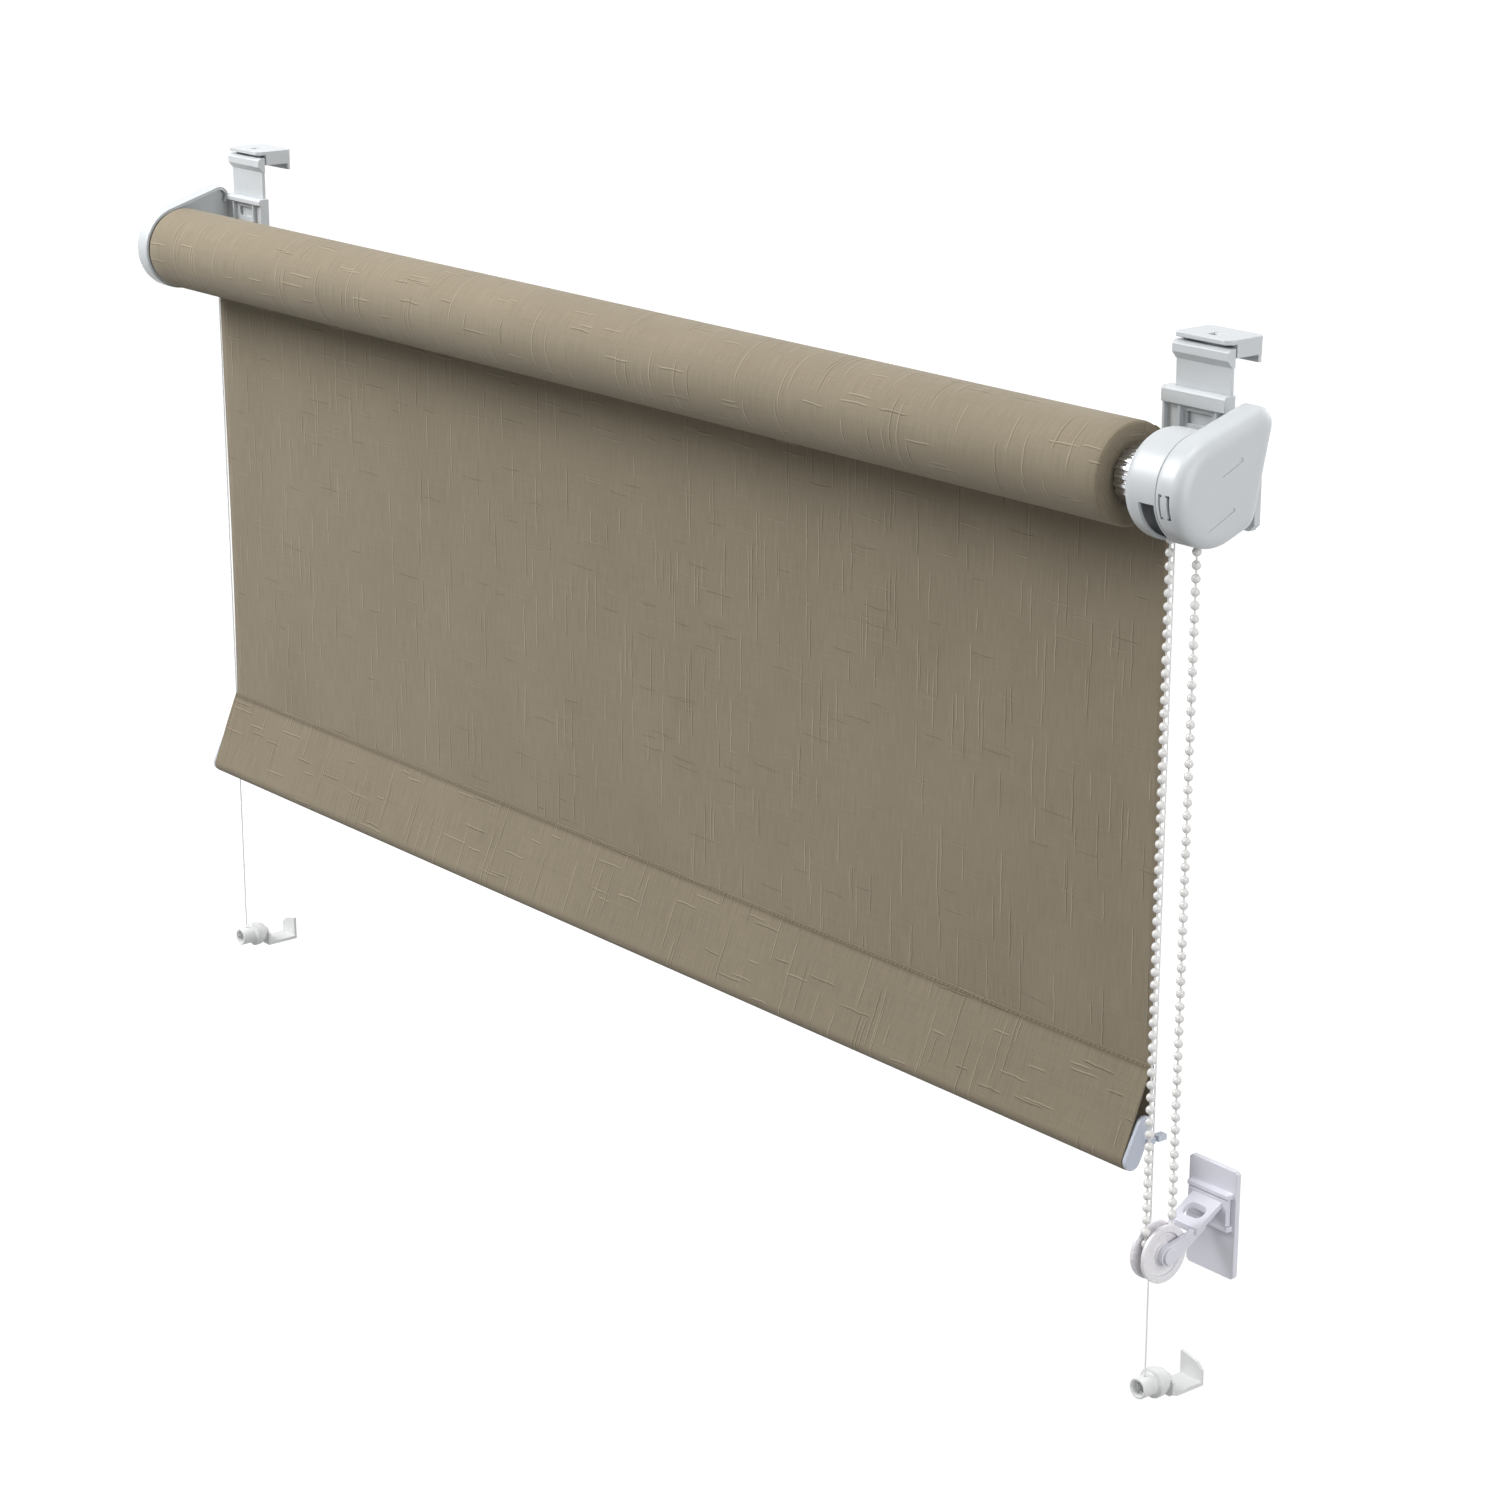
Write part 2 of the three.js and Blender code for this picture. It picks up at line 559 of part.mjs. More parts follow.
// Cap: top plate, side skirts that run on the tongue's edges, and a lip behind the sash.
function hookCap(x) {
  const face = sashY;
  const back = face + sash.thickness + lip.thickness;
  const under = capTop - cap.plate;
  const outline = cutRectangle(x - hookHalf, x + hookHalf, shoulderFront - cap.overhang, back, cap.corner);
  const top = prismZ(outline, under, capTop);
  const backLip = block(
    x - hookHalf + cap.corner, x + hookHalf - cap.corner, back - lip.thickness, back,
    sashTop - lip.drop, capTop - fit,
  );
  const start = face + fit * 3;
  const skirts = [-1, 1].map((side) => {
    const outer = x + side * hookHalf;
    const inner = x + side * (hookHalf - cap.skirt);
    const edge = x + side * (hookHalf - cap.skirt - pad.edge);
    const end = back - cap.corner;
    const between = (a, b, z0, z1) => block(Math.min(a, b), Math.max(a, b), start, end, z0, z1);
    return join(
      between(inner, outer, sashTop, under + fit),
      between(edge, outer, tongueTop + fit, under + fit),
      between(edge, outer, sashTop, sashTop + pad.thickness),
    );
  });
  const hole = block(
    x - tooth.halfWidth - fit, x + tooth.halfWidth + fit, face + tooth.back - tooth.travel - fit,
    face + tooth.back + tooth.length + fit, under - fit, capTop + overrun,
  );
  return cut(join(top, backLip, ...skirts), hole);
}

// Guide wire from the bracket's lug down to the barrel, and the stop above the lug.
function guideWire() {
  const z0 = barrelZ + barrelRadius + fit;
  return rodZ(wireX, wireY, z0, plate.bottom + lug.thickness, wire.radius, smallSides / 2);
}
function wireStop() {
  const z0 = plate.bottom + lug.thickness + fit;
  return rodZ(wireX, wireY, z0, z0 + wire.stopHeight, wire.stopRadius);
}

// Clip hooked under the sash: front plate, floor and back flange, with a stub for the barrel.
function sashClip() {
  const x0 = wireX - clip.halfWidth;
  const x1 = wireX + clip.halfWidth;
  const face = sashY;
  const back = face + sash.thickness + clip.play;
  const top = sashFoot + clip.front;
  const front = prismY([
    [x0 + clip.floor, sashFoot - clip.floor], [x1 - clip.floor, sashFoot - clip.floor], [x1, sashFoot],
    [x1, top - clip.corner], [x1 - clip.corner, top], [x0 + clip.corner, top], [x0, top - clip.corner],
    [x0, sashFoot],
  ], face - clip.wall, face);
  const floor = prismZ([
    [x0, face - clip.wall], [x1 - clip.corner, face - clip.wall], [x1, face - clip.wall + clip.corner],
    [x1, back + clip.wall], [x0, back + clip.wall],
  ], sashFoot - clip.floor, sashFoot);
  const slopeFoot = sashFoot + clip.back - clip.slope;
  const flange = prismY([
    [x0, sashFoot - clip.floor], [x1, sashFoot - clip.floor], [x1, slopeFoot - clip.corner],
    [x1 - clip.corner, slopeFoot], [x0, sashFoot + clip.back],
  ], back, back + clip.wall);
  const tip = wireY + stub.tip;
  const root = face - clip.wall / 2;
  const peg = turnedAlongY([[tip, 0], [tip, stub.radius], [root, stub.radius], [root, 0]], wireX, barrelZ);
  return join(front, floor, flange, peg);
}

// Barrel that winds the wire: a hollow mouth, a wire hole and a flared collar.
function tensionBarrel() {
  const mouth = wireY - barrel.reach;
  const mouthBore = barrelBore + barrel.mouthStep;
  const start = wireY + collar.start;
  const end = sashY - clip.wall - fit;
  const flare = barrelRadius + collar.proud;
  const made = turnedAlongY([
    [mouth, mouthBore], [mouth, barrelRadius], [start, barrelRadius], [start, flare],
    [start + collar.land, flare], [end, barrelRadius + collar.neck], [end, barrelBore],
    [mouth + barrel.mouthDeep, barrelBore], [mouth + barrel.mouthDeep, mouthBore],
  ], wireX, barrelZ);
  const top = barrelZ + barrelRadius + overrun;
  return cut(made, rodZ(wireX, wireY, barrelZ, top, wire.radius + fit, smallSides / 2));
}

// The point at distance s along the chain's loop, with its direction: up the front strand,
// over the sprocket, down the back strand and round the tensioner's wheel.
function alongChain(s) {
  const r = chainRadius;
  const half = Math.PI * r;
  if (s < wheelDrop) return { y: -r, z: s - wheelDrop, dy: 0, dz: 1 };
  if (s < wheelDrop + half) {
    const turn = (s - wheelDrop) / r;
    return { y: -r * Math.cos(turn), z: r * Math.sin(turn), dy: Math.sin(turn), dz: Math.cos(turn) };
  }
  if (s < 2 * wheelDrop + half) return { y: r, z: wheelDrop + half - s, dy: 0, dz: -1 };
  const turn = (s - 2 * wheelDrop - half) / r;
  const [y, z] = [r * Math.cos(turn), -wheelDrop - r * Math.sin(turn)];
  return { y, z, dy: -Math.sin(turn), dz: -Math.cos(turn) };
}

// Endless ball chain: one skin of rings that swells at each bead and narrows to the cord.
function ballChain() {
  const sides = 6;
  const ringShares = [[-0.97, 0], [-0.44, 1], [0.44, 1], [0.97, 0]];
  const beadRing = chain.beadRadius * Math.sqrt(1 - ringShares[1][0] ** 2);
  const length = chain.beads * chainPitch;
  const points = [];
  const faces = [];
  for (let bead = 0; bead < chain.beads; bead++)
    for (const [along, full] of ringShares) {
      const at = alongChain((bead * chainPitch + along * chain.beadRadius + length) % length);
      const r = full ? beadRing : chain.cordRadius;
      for (let i = 0; i < sides; i++) {
        const turn = (2 * Math.PI * i) / sides;
        const out = r * Math.sin(turn);
        points.push(chainX + r * Math.cos(turn), at.y + out * at.dz, at.z - out * at.dy);
      }
    }
  const rings = points.length / (3 * sides);
  for (let ring = 0; ring < rings; ring++)
    for (let i = 0; i < sides; i++) {
      const a = ring * sides + i;
      const b = ring * sides + ((i + 1) % sides);
      const next = (ring + 1 === rings ? -ring : 1) * sides;
      faces.push(a, b, b + next, a, b + next, a + next);
    }
  const geometry = new THREE.BufferGeometry();
  geometry.setAttribute("position", new THREE.Float32BufferAttribute(points, 3));
  geometry.setIndex(faces);
  return solid(geometry);
}

// Tensioner's base plate with the two rails that hold the arm's root.
const plateFront = sashY - base.tape - fit - base.thickness;
const railHalf = base.width / 2 - rail.inset;
function tensionerPlate() {
  const half = base.width / 2;
  const outline = cutRectangle(chainX - half, chainX + half, baseTop - base.height, baseTop, base.corner);
  const flat = prismY(outline, plateFront, plateFront + base.thickness);
  const railAt = (down) => block(
    chainX - railHalf, chainX + railHalf, plateFront - rail.proud, plateFront + fit,
    baseTop - down - rail.height, baseTop - down,
  );
  return join(flat, railAt(rail.down), railAt(rail.down + rail.apart));
}

function tensionerTape() {
  const half = base.width / 2 - base.inset;
  const z1 = baseTop - base.inset;
  const z0 = baseTop - base.height + base.inset;
  return prismY(cutRectangle(chainX - half, chainX + half, z0, z1, base.corner), sashY - base.tape, sashY);
}

// Arm: a root between the rails, a sloping web with an oval window, and two cheeks for the axle.
function tensionerArm() {
  const x = chainX;
  const rootTop = baseTop - rail.down - rail.height - fit;
  const rootBottom = baseTop - rail.down - rail.apart + fit;
  const rootFront = plateFront - rail.proud;
  const rootHalf = railHalf - arm.rootInset;
  const root = block(x - rootHalf, x + rootHalf, rootFront, plateFront - fit, rootBottom, rootTop);
  const inner = rimHalf + fit + fit / 2;
  const half = inner + cheek.thickness + arm.margin;
  const webTop = rootTop - arm.thickness / 2;
  const webFront = wheel.radius + arm.offWheel;
  const web = prismX([
    [rootFront + fit, webTop], [webFront, webTop - arm.drop], [webFront, webTop - arm.drop - arm.thickness],
    [rootFront + fit, webTop - arm.thickness],
  ], x - half, x + half);
  const webEnd = [webFront + arm.thickness * 2, webTop - arm.drop - arm.thickness / 2, arm.thickness / 2];
  const hub = [0, -wheelDrop, axle.radius + axle.headProud + cheek.margin];
  const ring = belt([hub, webEnd], smallSides * 2);
  const cheeks = [-1, 1].map((side) => {
    const x0 = x + side * (inner + cheek.thickness / 2) - cheek.thickness / 2;
    return prismX(ring, x0, x0 + cheek.thickness);
  });
  const windowY = rootFront - armHole.front;
  const ovalEnds = [x - armHole.half, x + armHole.half].map((end) => [end, windowY, armHole.radius]);
  const oval = belt(ovalEnds, smallSides);
  const hole = prismZ(oval, webTop - arm.drop - arm.thickness - overrun, webTop + overrun);
  const [low, high] = [x - half - overrun, x + half + overrun];
  const radius = axle.radius + fit;
  const bore = turned([[low, 0], [low, radius], [high, radius], [high, 0]], smallSides, 0, -wheelDrop);
  return cut(join(root, web, ...cheeks), hole, bore);
}

function tensionerWheel() {
  const x = chainX;
  const bore = axle.radius + fit;
  const [hub, rim] = [bore + wheel.hub, wheel.radius - wheel.rim];
  const recess = x + grooveHalf + wheel.web;
  return turned([
    [x + rimHalf, bore], [x + rimHalf, hub], [recess, hub], [recess, rim], [x + rimHalf, rim],
    [x + rimHalf, wheel.radius], ...grooveSide(x, 1, wheel.radius),
    ...grooveSide(x, -1, wheel.radius).reverse(), [x - rimHalf, wheel.radius], [x - rimHalf, bore],
  ], roundSides, 0, -wheelDrop);
}

function tensionerAxle() {
  const reach = rimHalf + fit + cheek.thickness + fit;
  const [low, high] = [chainX - reach, chainX + reach];
  const headRadius = axle.radius + axle.headProud;
  return turned([
    [low, 0], [low, axle.radius], [high, axle.radius], [high, headRadius], [high + axle.head, headRadius],
    [high + axle.head, 0],
  ], smallSides, 0, -wheelDrop);
}

// Hem: the circles at the seam and at the bar's two edges, the bar between them leaning forwards.
const barTop = [sheetMid - barEdges.topForward, -fabric.drop - barEdges.topDown];
const barBottom = [sheetMid - barEdges.bottomForward, -fabric.drop - barEdges.bottomDown];
const seam = [sheetMid, -fabric.drop - seamRadius];
const barCircles = (radius) => [[...barTop, radius], [...barBottom, radius]];

function hangingCloth() {
  const half = fabric.thickness / 2;
  return block(-rollEnd, rollEnd, sheetMid - half, sheetMid + half, -fabric.drop + fit, 0);
}

function hemPocket() {
  const inside = bar.radius + fit;
  const outer = belt([...barCircles(inside + hem.wall), [...seam, seamRadius]], roundSides);
  const inner = belt([...barCircles(inside), [...seam, hem.seamHollow]], roundSides);
  return cut(
    lofted([[-rollEnd, outer], [rollEnd, outer]]),
    lofted([[-rollEnd - overrun, inner], [rollEnd + overrun, inner]]),
  );
}

function bottomBar() {
  const outer = belt(barCircles(bar.radius), smallSides * 2);
  const inner = belt(barCircles(bar.radius - bar.wall), smallSides * 2);
  return cut(
    lofted([[-rollEnd, outer], [rollEnd, outer]]),
    lofted([[-rollEnd - overrun, inner], [rollEnd + overrun, inner]]),
  );
}

// End cap of the bar: an oval plate, a tongue in the bar, and a fork that the guide wire runs in.
function railEndCap() {
  const x0 = rollEnd + fit;
  const radius = bar.radius + railCap.brim;
  const ring = belt(barCircles(radius), smallSides * 2);
  const oval = lofted([[x0, ring], [x0 + railCap.thickness, ring]]);
  const tongueRing = belt(barCircles(bar.radius - bar.wall - fit), smallSides * 2);
  const tongue = lofted([[x0 - railCap.tongueLength, tongueRing], [x0 + fit, tongueRing]]);
  const middle = (barTop[1] + barBottom[1]) / 2;
  const prongs = block(
    x0, wireX + prong.pastWire, barTop[0], wireY + prong.reach,
    middle - prong.height / 2, middle + prong.height / 2,
  );
  const room = wire.radius + fit + fit / 2;
  const slot = block(
    wireX - room, wireX + overrun, wireY - room, wireY + room,
    barBottom[1] - radius - overrun, barTop[1] + radius + overrun,
  );
  return cut(join(oval, tongue, prongs), slot);
}

addPiece("roller_tube", rollerTube(), finish(0xc9ccd0, 0.3, 1));
addPiece("fabric_spline", fabricSpline(), whitePlastic());
addPiece("fabric_roll", fabricRoll(), linen());
addPiece("drive_plug", drivePlug(), finish(0xc9ccd0, 0.25, 1));
addPiece("clutch_core", clutchCore(), whitePlastic());
addPiece("brake_spring_inner", brakeSpring(0), steel());
addPiece("brake_spring_outer", brakeSpring(1), steel());
addPiece("chain_sprocket", chainSprocket(), whitePlastic());
addPiece("chain_guard", chainGuard(), whitePlastic());
addPiece("clutch_bracket", endBracket(clutchSide), whitePlastic());
addPiece("clutch_cover", clutchCover(), whitePlastic());
addPiece("idle_bracket", mirrored(endBracket(idleSide)), whitePlastic());
addPiece("idle_cover", mirrored(dishedCover(idleCoverStart, idleSide.wallX)), whitePlastic());
addPiece("idle_pin", mirrored(idlePinSolid()), whitePlastic());
addPiece("idle_plug", mirrored(idlePlugSolid()), whitePlastic());
addPiece("idle_spring", mirrored(idleSpringSolid()), steel());

for (const [end, x] of [["clutch", clutchSide.hookX], ["idle", -idleSide.hookX]]) {
  addPiece(end + "_hook_strap", hookStrap(x), whitePlastic());
  addPiece(end + "_hook_cap", hookCap(x), whitePlastic());
  addPiece(end + "_hook_pad", hookPad(x), finish(0xb9bcbe, 0.95));
}

for (const [end, place] of [["clutch", (made) => made], ["idle", mirrored]]) {
  addPiece(end + "_guide_wire", place(guideWire()), finish(0xe4e4e2, 0.4));
  addPiece(end + "_wire_stop", place(wireStop()), steel());
  addPiece(end + "_sash_clip", place(sashClip()), whitePlastic());
  addPiece(end + "_tension_barrel", place(tensionBarrel()), whitePlastic());
  addPiece(end + "_rail_cap", place(railEndCap()), whitePlastic());
}

addPiece("bead_chain", ballChain(), clearPlastic());
addPiece("tensioner_plate", tensionerPlate(), whitePlastic());
addPiece("tensioner_tape", tensionerTape(), finish(0xd8d8d4, 0.9));
addPiece("tensioner_arm", tensionerArm(), whitePlastic());
addPiece("tensioner_wheel", tensionerWheel(), clearPlastic());
addPiece("tensioner_axle", tensionerAxle(), whitePlastic());
addPiece("hanging_cloth", hangingCloth(), linen());
addPiece("hem_pocket", hemPocket(), linen());
addPiece("bottom_bar", bottomBar(), finish(0xd9dcdf, 0.4, 1));

export default blind;
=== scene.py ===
# Mini roller blind: linen roll and sheet, moulded end brackets, sash hooks, ball chain,
# chain tensioner and two guide wires with their clips. Metres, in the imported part's frame.
import math

import bmesh
import bpy
import numpy as np
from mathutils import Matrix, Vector


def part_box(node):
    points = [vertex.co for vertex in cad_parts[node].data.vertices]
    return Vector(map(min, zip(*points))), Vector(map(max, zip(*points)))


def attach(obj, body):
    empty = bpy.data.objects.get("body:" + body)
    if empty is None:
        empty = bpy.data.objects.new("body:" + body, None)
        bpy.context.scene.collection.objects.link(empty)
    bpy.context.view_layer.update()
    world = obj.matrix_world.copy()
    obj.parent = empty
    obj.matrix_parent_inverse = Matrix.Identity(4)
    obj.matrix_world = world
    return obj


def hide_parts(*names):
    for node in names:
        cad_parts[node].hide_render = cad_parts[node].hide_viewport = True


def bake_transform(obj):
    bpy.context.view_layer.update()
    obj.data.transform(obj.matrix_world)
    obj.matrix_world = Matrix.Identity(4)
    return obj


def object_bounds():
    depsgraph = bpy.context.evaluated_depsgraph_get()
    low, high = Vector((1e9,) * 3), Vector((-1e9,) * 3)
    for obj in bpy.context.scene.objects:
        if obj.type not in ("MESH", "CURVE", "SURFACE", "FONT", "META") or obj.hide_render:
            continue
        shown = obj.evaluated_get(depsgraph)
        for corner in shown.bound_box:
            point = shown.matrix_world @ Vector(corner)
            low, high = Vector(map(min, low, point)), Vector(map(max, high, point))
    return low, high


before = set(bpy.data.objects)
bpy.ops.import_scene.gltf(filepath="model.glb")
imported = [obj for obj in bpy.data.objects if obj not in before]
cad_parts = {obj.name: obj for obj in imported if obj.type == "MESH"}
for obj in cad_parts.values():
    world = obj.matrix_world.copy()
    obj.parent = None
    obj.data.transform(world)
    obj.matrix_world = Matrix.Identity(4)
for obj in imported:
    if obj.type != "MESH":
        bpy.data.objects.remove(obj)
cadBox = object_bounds()
mm = 0.001
fullTurn = 2 * math.pi
print("frame loaded:", len(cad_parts), "nodes")


def middle(node):
    low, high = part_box(node)
    return (low + high) / 2


def halfHeight(node):
    low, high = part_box(node)
    return (high.z - low.z) / 2


# Places read from the frame
rollAxis = middle("fabric_roll")  # the roller's axis runs along X through this point
rollSpot = np.array(rollAxis)[1:]
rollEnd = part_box("fabric_roll")[1].x
rollRadius = halfHeight("fabric_roll")
tubeRadius = halfHeight("roller_tube")
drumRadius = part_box("chain_guard")[1].z - rollAxis.z


# Meshes from whole arrays of points

def spread(*sides):
    # Points from their x, y and z, each given only along the directions in which it changes.
    return np.stack(np.broadcast_arrays(*sides), axis=-1)


def roundTurn(count):
    # As many angles, evenly round a full turn.
    return np.arange(count) * fullTurn / count


def grid(points, closed=(True, True), uv=None):
    # Quads between neighbouring points of a (rows, columns, 3) array; a closed direction joins its
    # last line to its first, and its uv has one line more.
    rows, columns = points.shape[:2]
    r, c = (a.ravel() for a in np.meshgrid(
        np.arange(rows - (not closed[0])), np.arange(columns - (not closed[1])), indexing="ij"))
    around = [(r, c), (r + 1, c), (r + 1, c + 1), (r, c + 1)]
    quads = np.stack([(a % rows) * columns + b % columns for a, b in around], axis=1)
    if uv is None:
        return points.reshape(-1, 3), quads, np.zeros((len(quads), 4, 2))
    corners = np.stack([a * uv.shape[1] + b for a, b in around], axis=1)
    return points.reshape(-1, 3), quads, uv.reshape(-1, 2)[corners]


def meshOf(name, *grids, sharp=35):
    # One mesh of several grids: doubles merged, faces outwards, smooth but for edges over `sharp` degrees.
    starts = np.cumsum([0] + [len(g[0]) for g in grids[:-1]])
    made = bpy.data.meshes.new(name)
    quads = np.concatenate([g[1] + start for g, start in zip(grids, starts)])
    made.from_pydata(np.concatenate([g[0] for g in grids]).tolist(), [], quads.tolist())
    layer = made.uv_layers.new(name="cloth")
    layer.data.foreach_set("uv", np.concatenate([g[2] for g in grids]).astype(np.float32).ravel())
    return cleaned(made, sharp)


def smoothed(mesh, sharp=35):
    mesh.polygons.foreach_set("use_smooth", np.ones(len(mesh.polygons), bool))
    mesh.set_sharp_from_angle(angle=math.radians(sharp))
    return mesh


def cleaned(mesh, sharp=35, merge=1e-6, outwards=True):
    shape = bmesh.new()
    shape.from_mesh(mesh)
    bmesh.ops.remove_doubles(shape, verts=shape.verts, dist=merge)
    bmesh.ops.dissolve_degenerate(shape, edges=shape.edges, dist=merge)
    if outwards:
        bmesh.ops.recalc_face_normals(shape, faces=shape.faces)
    shape.to_mesh(mesh)
    shape.free()
    return smoothed(mesh, sharp)


def rounded(corners, radius, steps=6, most=0.45):
    # Each corner of a closed outline becomes a parabola from `radius` before it to `radius` after it,
    # but `most` of a side at most.
    corner = np.array(corners, float)
    back, on = np.roll(corner, 1, axis=0) - corner, np.roll(corner, -1, axis=0) - corner
    backLength, onLength = np.linalg.norm(back, axis=1), np.linalg.norm(on, axis=1)
    cut = np.minimum(radius, most * np.minimum(backLength, onLength))
    first = corner + back * (cut / backLength)[:, None]
    last = corner + on * (cut / onLength)[:, None]
    t = np.linspace(0, 1, steps)[:, None, None]
    curve = (1 - t) ** 2 * first + 2 * t * (1 - t) * corner + t * t * last
    return curve.transpose(1, 0, 2).reshape(-1, 2)


def turned(profile, axis, sides, ripple=None, sideways=False):
    # A closed profile of (along, r) carried round X, or round Y if sideways: r cos a across and r sin a
    # up, with r changed by ripple(r, a).
    a = roundTurn(sides)
    along, r = profile[:, :1], profile[:, 1:]
    r = r - ripple(r, a) if ripple else r
    across, up = r * np.cos(a), axis.z + r * np.sin(a)
    places = (axis.x + across, along, up) if sideways else (along, axis.y + across, up)
    return grid(spread(*places))


def belt(circles, grow=0.0, steps=168):
    # A belt drawn tight round circles (y, z, radius): each way it touches the one that reaches furthest.
    turn = roundTurn(steps)
    y, z, r = np.array(circles, float).T[:, :, None]
    best = (y * np.cos(turn) + z * np.sin(turn) + r).argmax(axis=0)
    y, z, r = y[best, 0], z[best, 0], r[best, 0] + grow
    return np.stack([y + r * np.cos(turn), z + r * np.sin(turn)], axis=1)


def evenly(ring, count):
    # A closed ring's points spaced evenly by the length along it, and that length at each.
    loop = np.vstack([ring, ring[:1]])
    along = np.concatenate([[0], np.cumsum(np.linalg.norm(np.diff(loop, axis=0), axis=1))])
    at = np.linspace(0, along[-1], count + 1)
    return np.stack([np.interp(at, along, loop[:, i]) for i in (0, 1)], axis=1)[:-1], at


def prism(first, last):
    # Two like rings of points joined by sides and closed at both ends, as points and faces.
    count = len(first)
    i = np.arange(count)
    sides = np.stack([i, (i + 1) % count, (i + 1) % count + count, i + count], axis=1)
    return np.concatenate([first, last]), [*sides.tolist(), i[::-1].tolist(), (i + count).tolist()]


def prismX(outline, x0, x1):
    # An outline of (y, z) points carried from x0 to x1.
    return prism(*(np.insert(np.array(outline, float), 0, x, axis=1) for x in (x0, x1)))


def box(low, high):
    (x0, y0, z0), (x1, y1, z1) = low, high
    return prismX([(y0, z0), (y1, z0), (y1, z1), (y0, z1)], x0, x1)


def placed(name, data):
    # A new object in the scene.
    one = bpy.data.objects.new(name, data)
    bpy.context.scene.collection.objects.link(one)
    return one


def carved(mesh, *shapes):
    # The mesh with the prisms cut out of it, one after another.
    for points, faces in shapes:
        block = placed("block", mesh)
        cutter = bpy.data.meshes.new("tool")
        cutter.from_pydata(points.tolist(), [], faces)
        tool = placed("tool", cleaned(cutter))
        cut = block.modifiers.new("cut", "BOOLEAN")
        cut.object = tool
        cut.solver = "EXACT"
        name = mesh.name
        mesh = bpy.data.meshes.new_from_object(block.evaluated_get(bpy.context.evaluated_depsgraph_get()))
        for one in (block, tool):
            bpy.data.objects.remove(one)
        mesh.name = name + "_cut"
    return cleaned(mesh, outwards=False)


def moulded(node, merge=2e-6, flat=0.6):
    # A copy of a CAD node's mesh with its doubles merged and its faces joined that turn less than `flat`
    # degrees.
    made = bpy.data.meshes.new(node + "_moulded")
    shape = bmesh.new()
    shape.from_mesh(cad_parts[node].data)
    bmesh.ops.remove_doubles(shape, verts=shape.verts, dist=merge)
    bmesh.ops.dissolve_limit(
        shape, angle_limit=math.radians(flat), verts=shape.verts, edges=shape.edges, delimit={"NORMAL"})
    shape.to_mesh(made)
    shape.free()
    return smoothed(made)


def addPiece(name, mesh, body, finishes, replaced=(), edge=0.0, segments=3, sharp=35):
    # The mesh as a piece on a body. An edge width rounds its sharp edges.
    piece = placed(name, mesh)
    mesh.materials.clear()
    for one in finishes if isinstance(finishes, list) else [finishes]:
        mesh.materials.append(one)
    if edge:
        bevel = piece.modifiers.new("edge", "BEVEL")
        bevel.width = edge
        bevel.segments = segments
        bevel.limit_method = "ANGLE"
        bevel.angle_limit = math.radians(sharp)
        bevel.harden_normals = True
    if body:
        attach(piece, body)
    if replaced:
        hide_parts(*replaced)
    return piece


# Shader groups shared by several materials

def nodeGroup(name, inputs, outputs):
    group = bpy.data.node_groups.new(name, "ShaderNodeTree")
    for label, value in inputs.items():
        kind = "NodeSocketVector" if value is None else "NodeSocketFloat"
        spot = group.interface.new_socket(label, in_out="INPUT", socket_type=kind)
        if value is not None:
            spot.default_value = value
    for label in outputs:
        group.interface.new_socket(label, in_out="OUTPUT", socket_type="NodeSocketFloat")
    return group, group.nodes.new("NodeGroupInput").outputs, group.nodes.new("NodeGroupOutput").inputs


def joinUp(tree, value, spot):
    if isinstance(value, (int, float, tuple)):
        spot.default_value = value
    else:
        tree.links.new(value, spot)


def maths(tree, operation, *values):
    made = tree.nodes.new("ShaderNodeMath")
    made.operation = operation
    for value, spot in zip(values, made.inputs):
        joinUp(tree, value, spot)
    return made.outputs[0]


def times(tree, first, second):
    return maths(tree, "MULTIPLY", first, second)


def splitUp(tree, vector):
    made = tree.nodes.new("ShaderNodeSeparateXYZ")
    tree.links.new(vector, made.inputs[0])
    return made.outputs


def noise(tree, vector, stretch, detail=2.0, rough=0.5):
    # Noise whose grains measure 1/stretch along each axis.
    scaled = tree.nodes.new("ShaderNodeVectorMath")
    scaled.operation = "MULTIPLY"
    tree.links.new(vector, scaled.inputs[0])
    scaled.inputs[1].default_value = stretch
    made = tree.nodes.new("ShaderNodeTexNoise")
    tree.links.new(scaled.outputs[0], made.inputs["Vector"])
    for label, value in (("Scale", 1.0), ("Detail", detail), ("Roughness", rough)):
        made.inputs[label].default_value = value
    return made.outputs["Fac"]


def between(tree, value, low, high, first=0.0, last=1.0):
    made = tree.nodes.new("ShaderNodeMapRange")
    made.interpolation_type = "SMOOTHSTEP"
    for item, spot in zip((value, low, high, first, last), made.inputs):
        joinUp(tree, item, spot)
    return made.outputs[0]


weave = {
    "thread": 0.52 * mm, "threadTone": 0.05, "threadHeight": 0.25, "drift": 0.8 * mm, "driftScale": 70,
    "middleTone": 0.5, "slubShare": 0.4,
    "clouds": (  # grains per metre along u and v, and how strong
        ((1 / (0.8 * mm), 1 / (16 * mm), 0), 0.62), ((0.5 / (16 * mm), 1 / (0.8 * mm), 0), 0.25),
        ((1 / (70 * mm), 0.6 / (70 * mm), 0), 0.3), ((1500, 1500, 0), 0.3)),
    "upright": {"width": 1.3 * mm, "length": 42 * mm, "share": 0.1},
    "level": {"width": 1.25 * mm, "length": 27 * mm, "share": 0.05},
}
# In the slubs, the flank's strength is a painted highlight on one side and painted shade on the other.
slub = {
    "strayScale": 90, "stray": 1.6, "seed": 0.37, "starts": 17.0, "shortest": 0.3, "fadeFrom": 0.55,
    "litAndShadedFlank": 1.25, "tone": 0.55, "darkShare": 0.35,
}


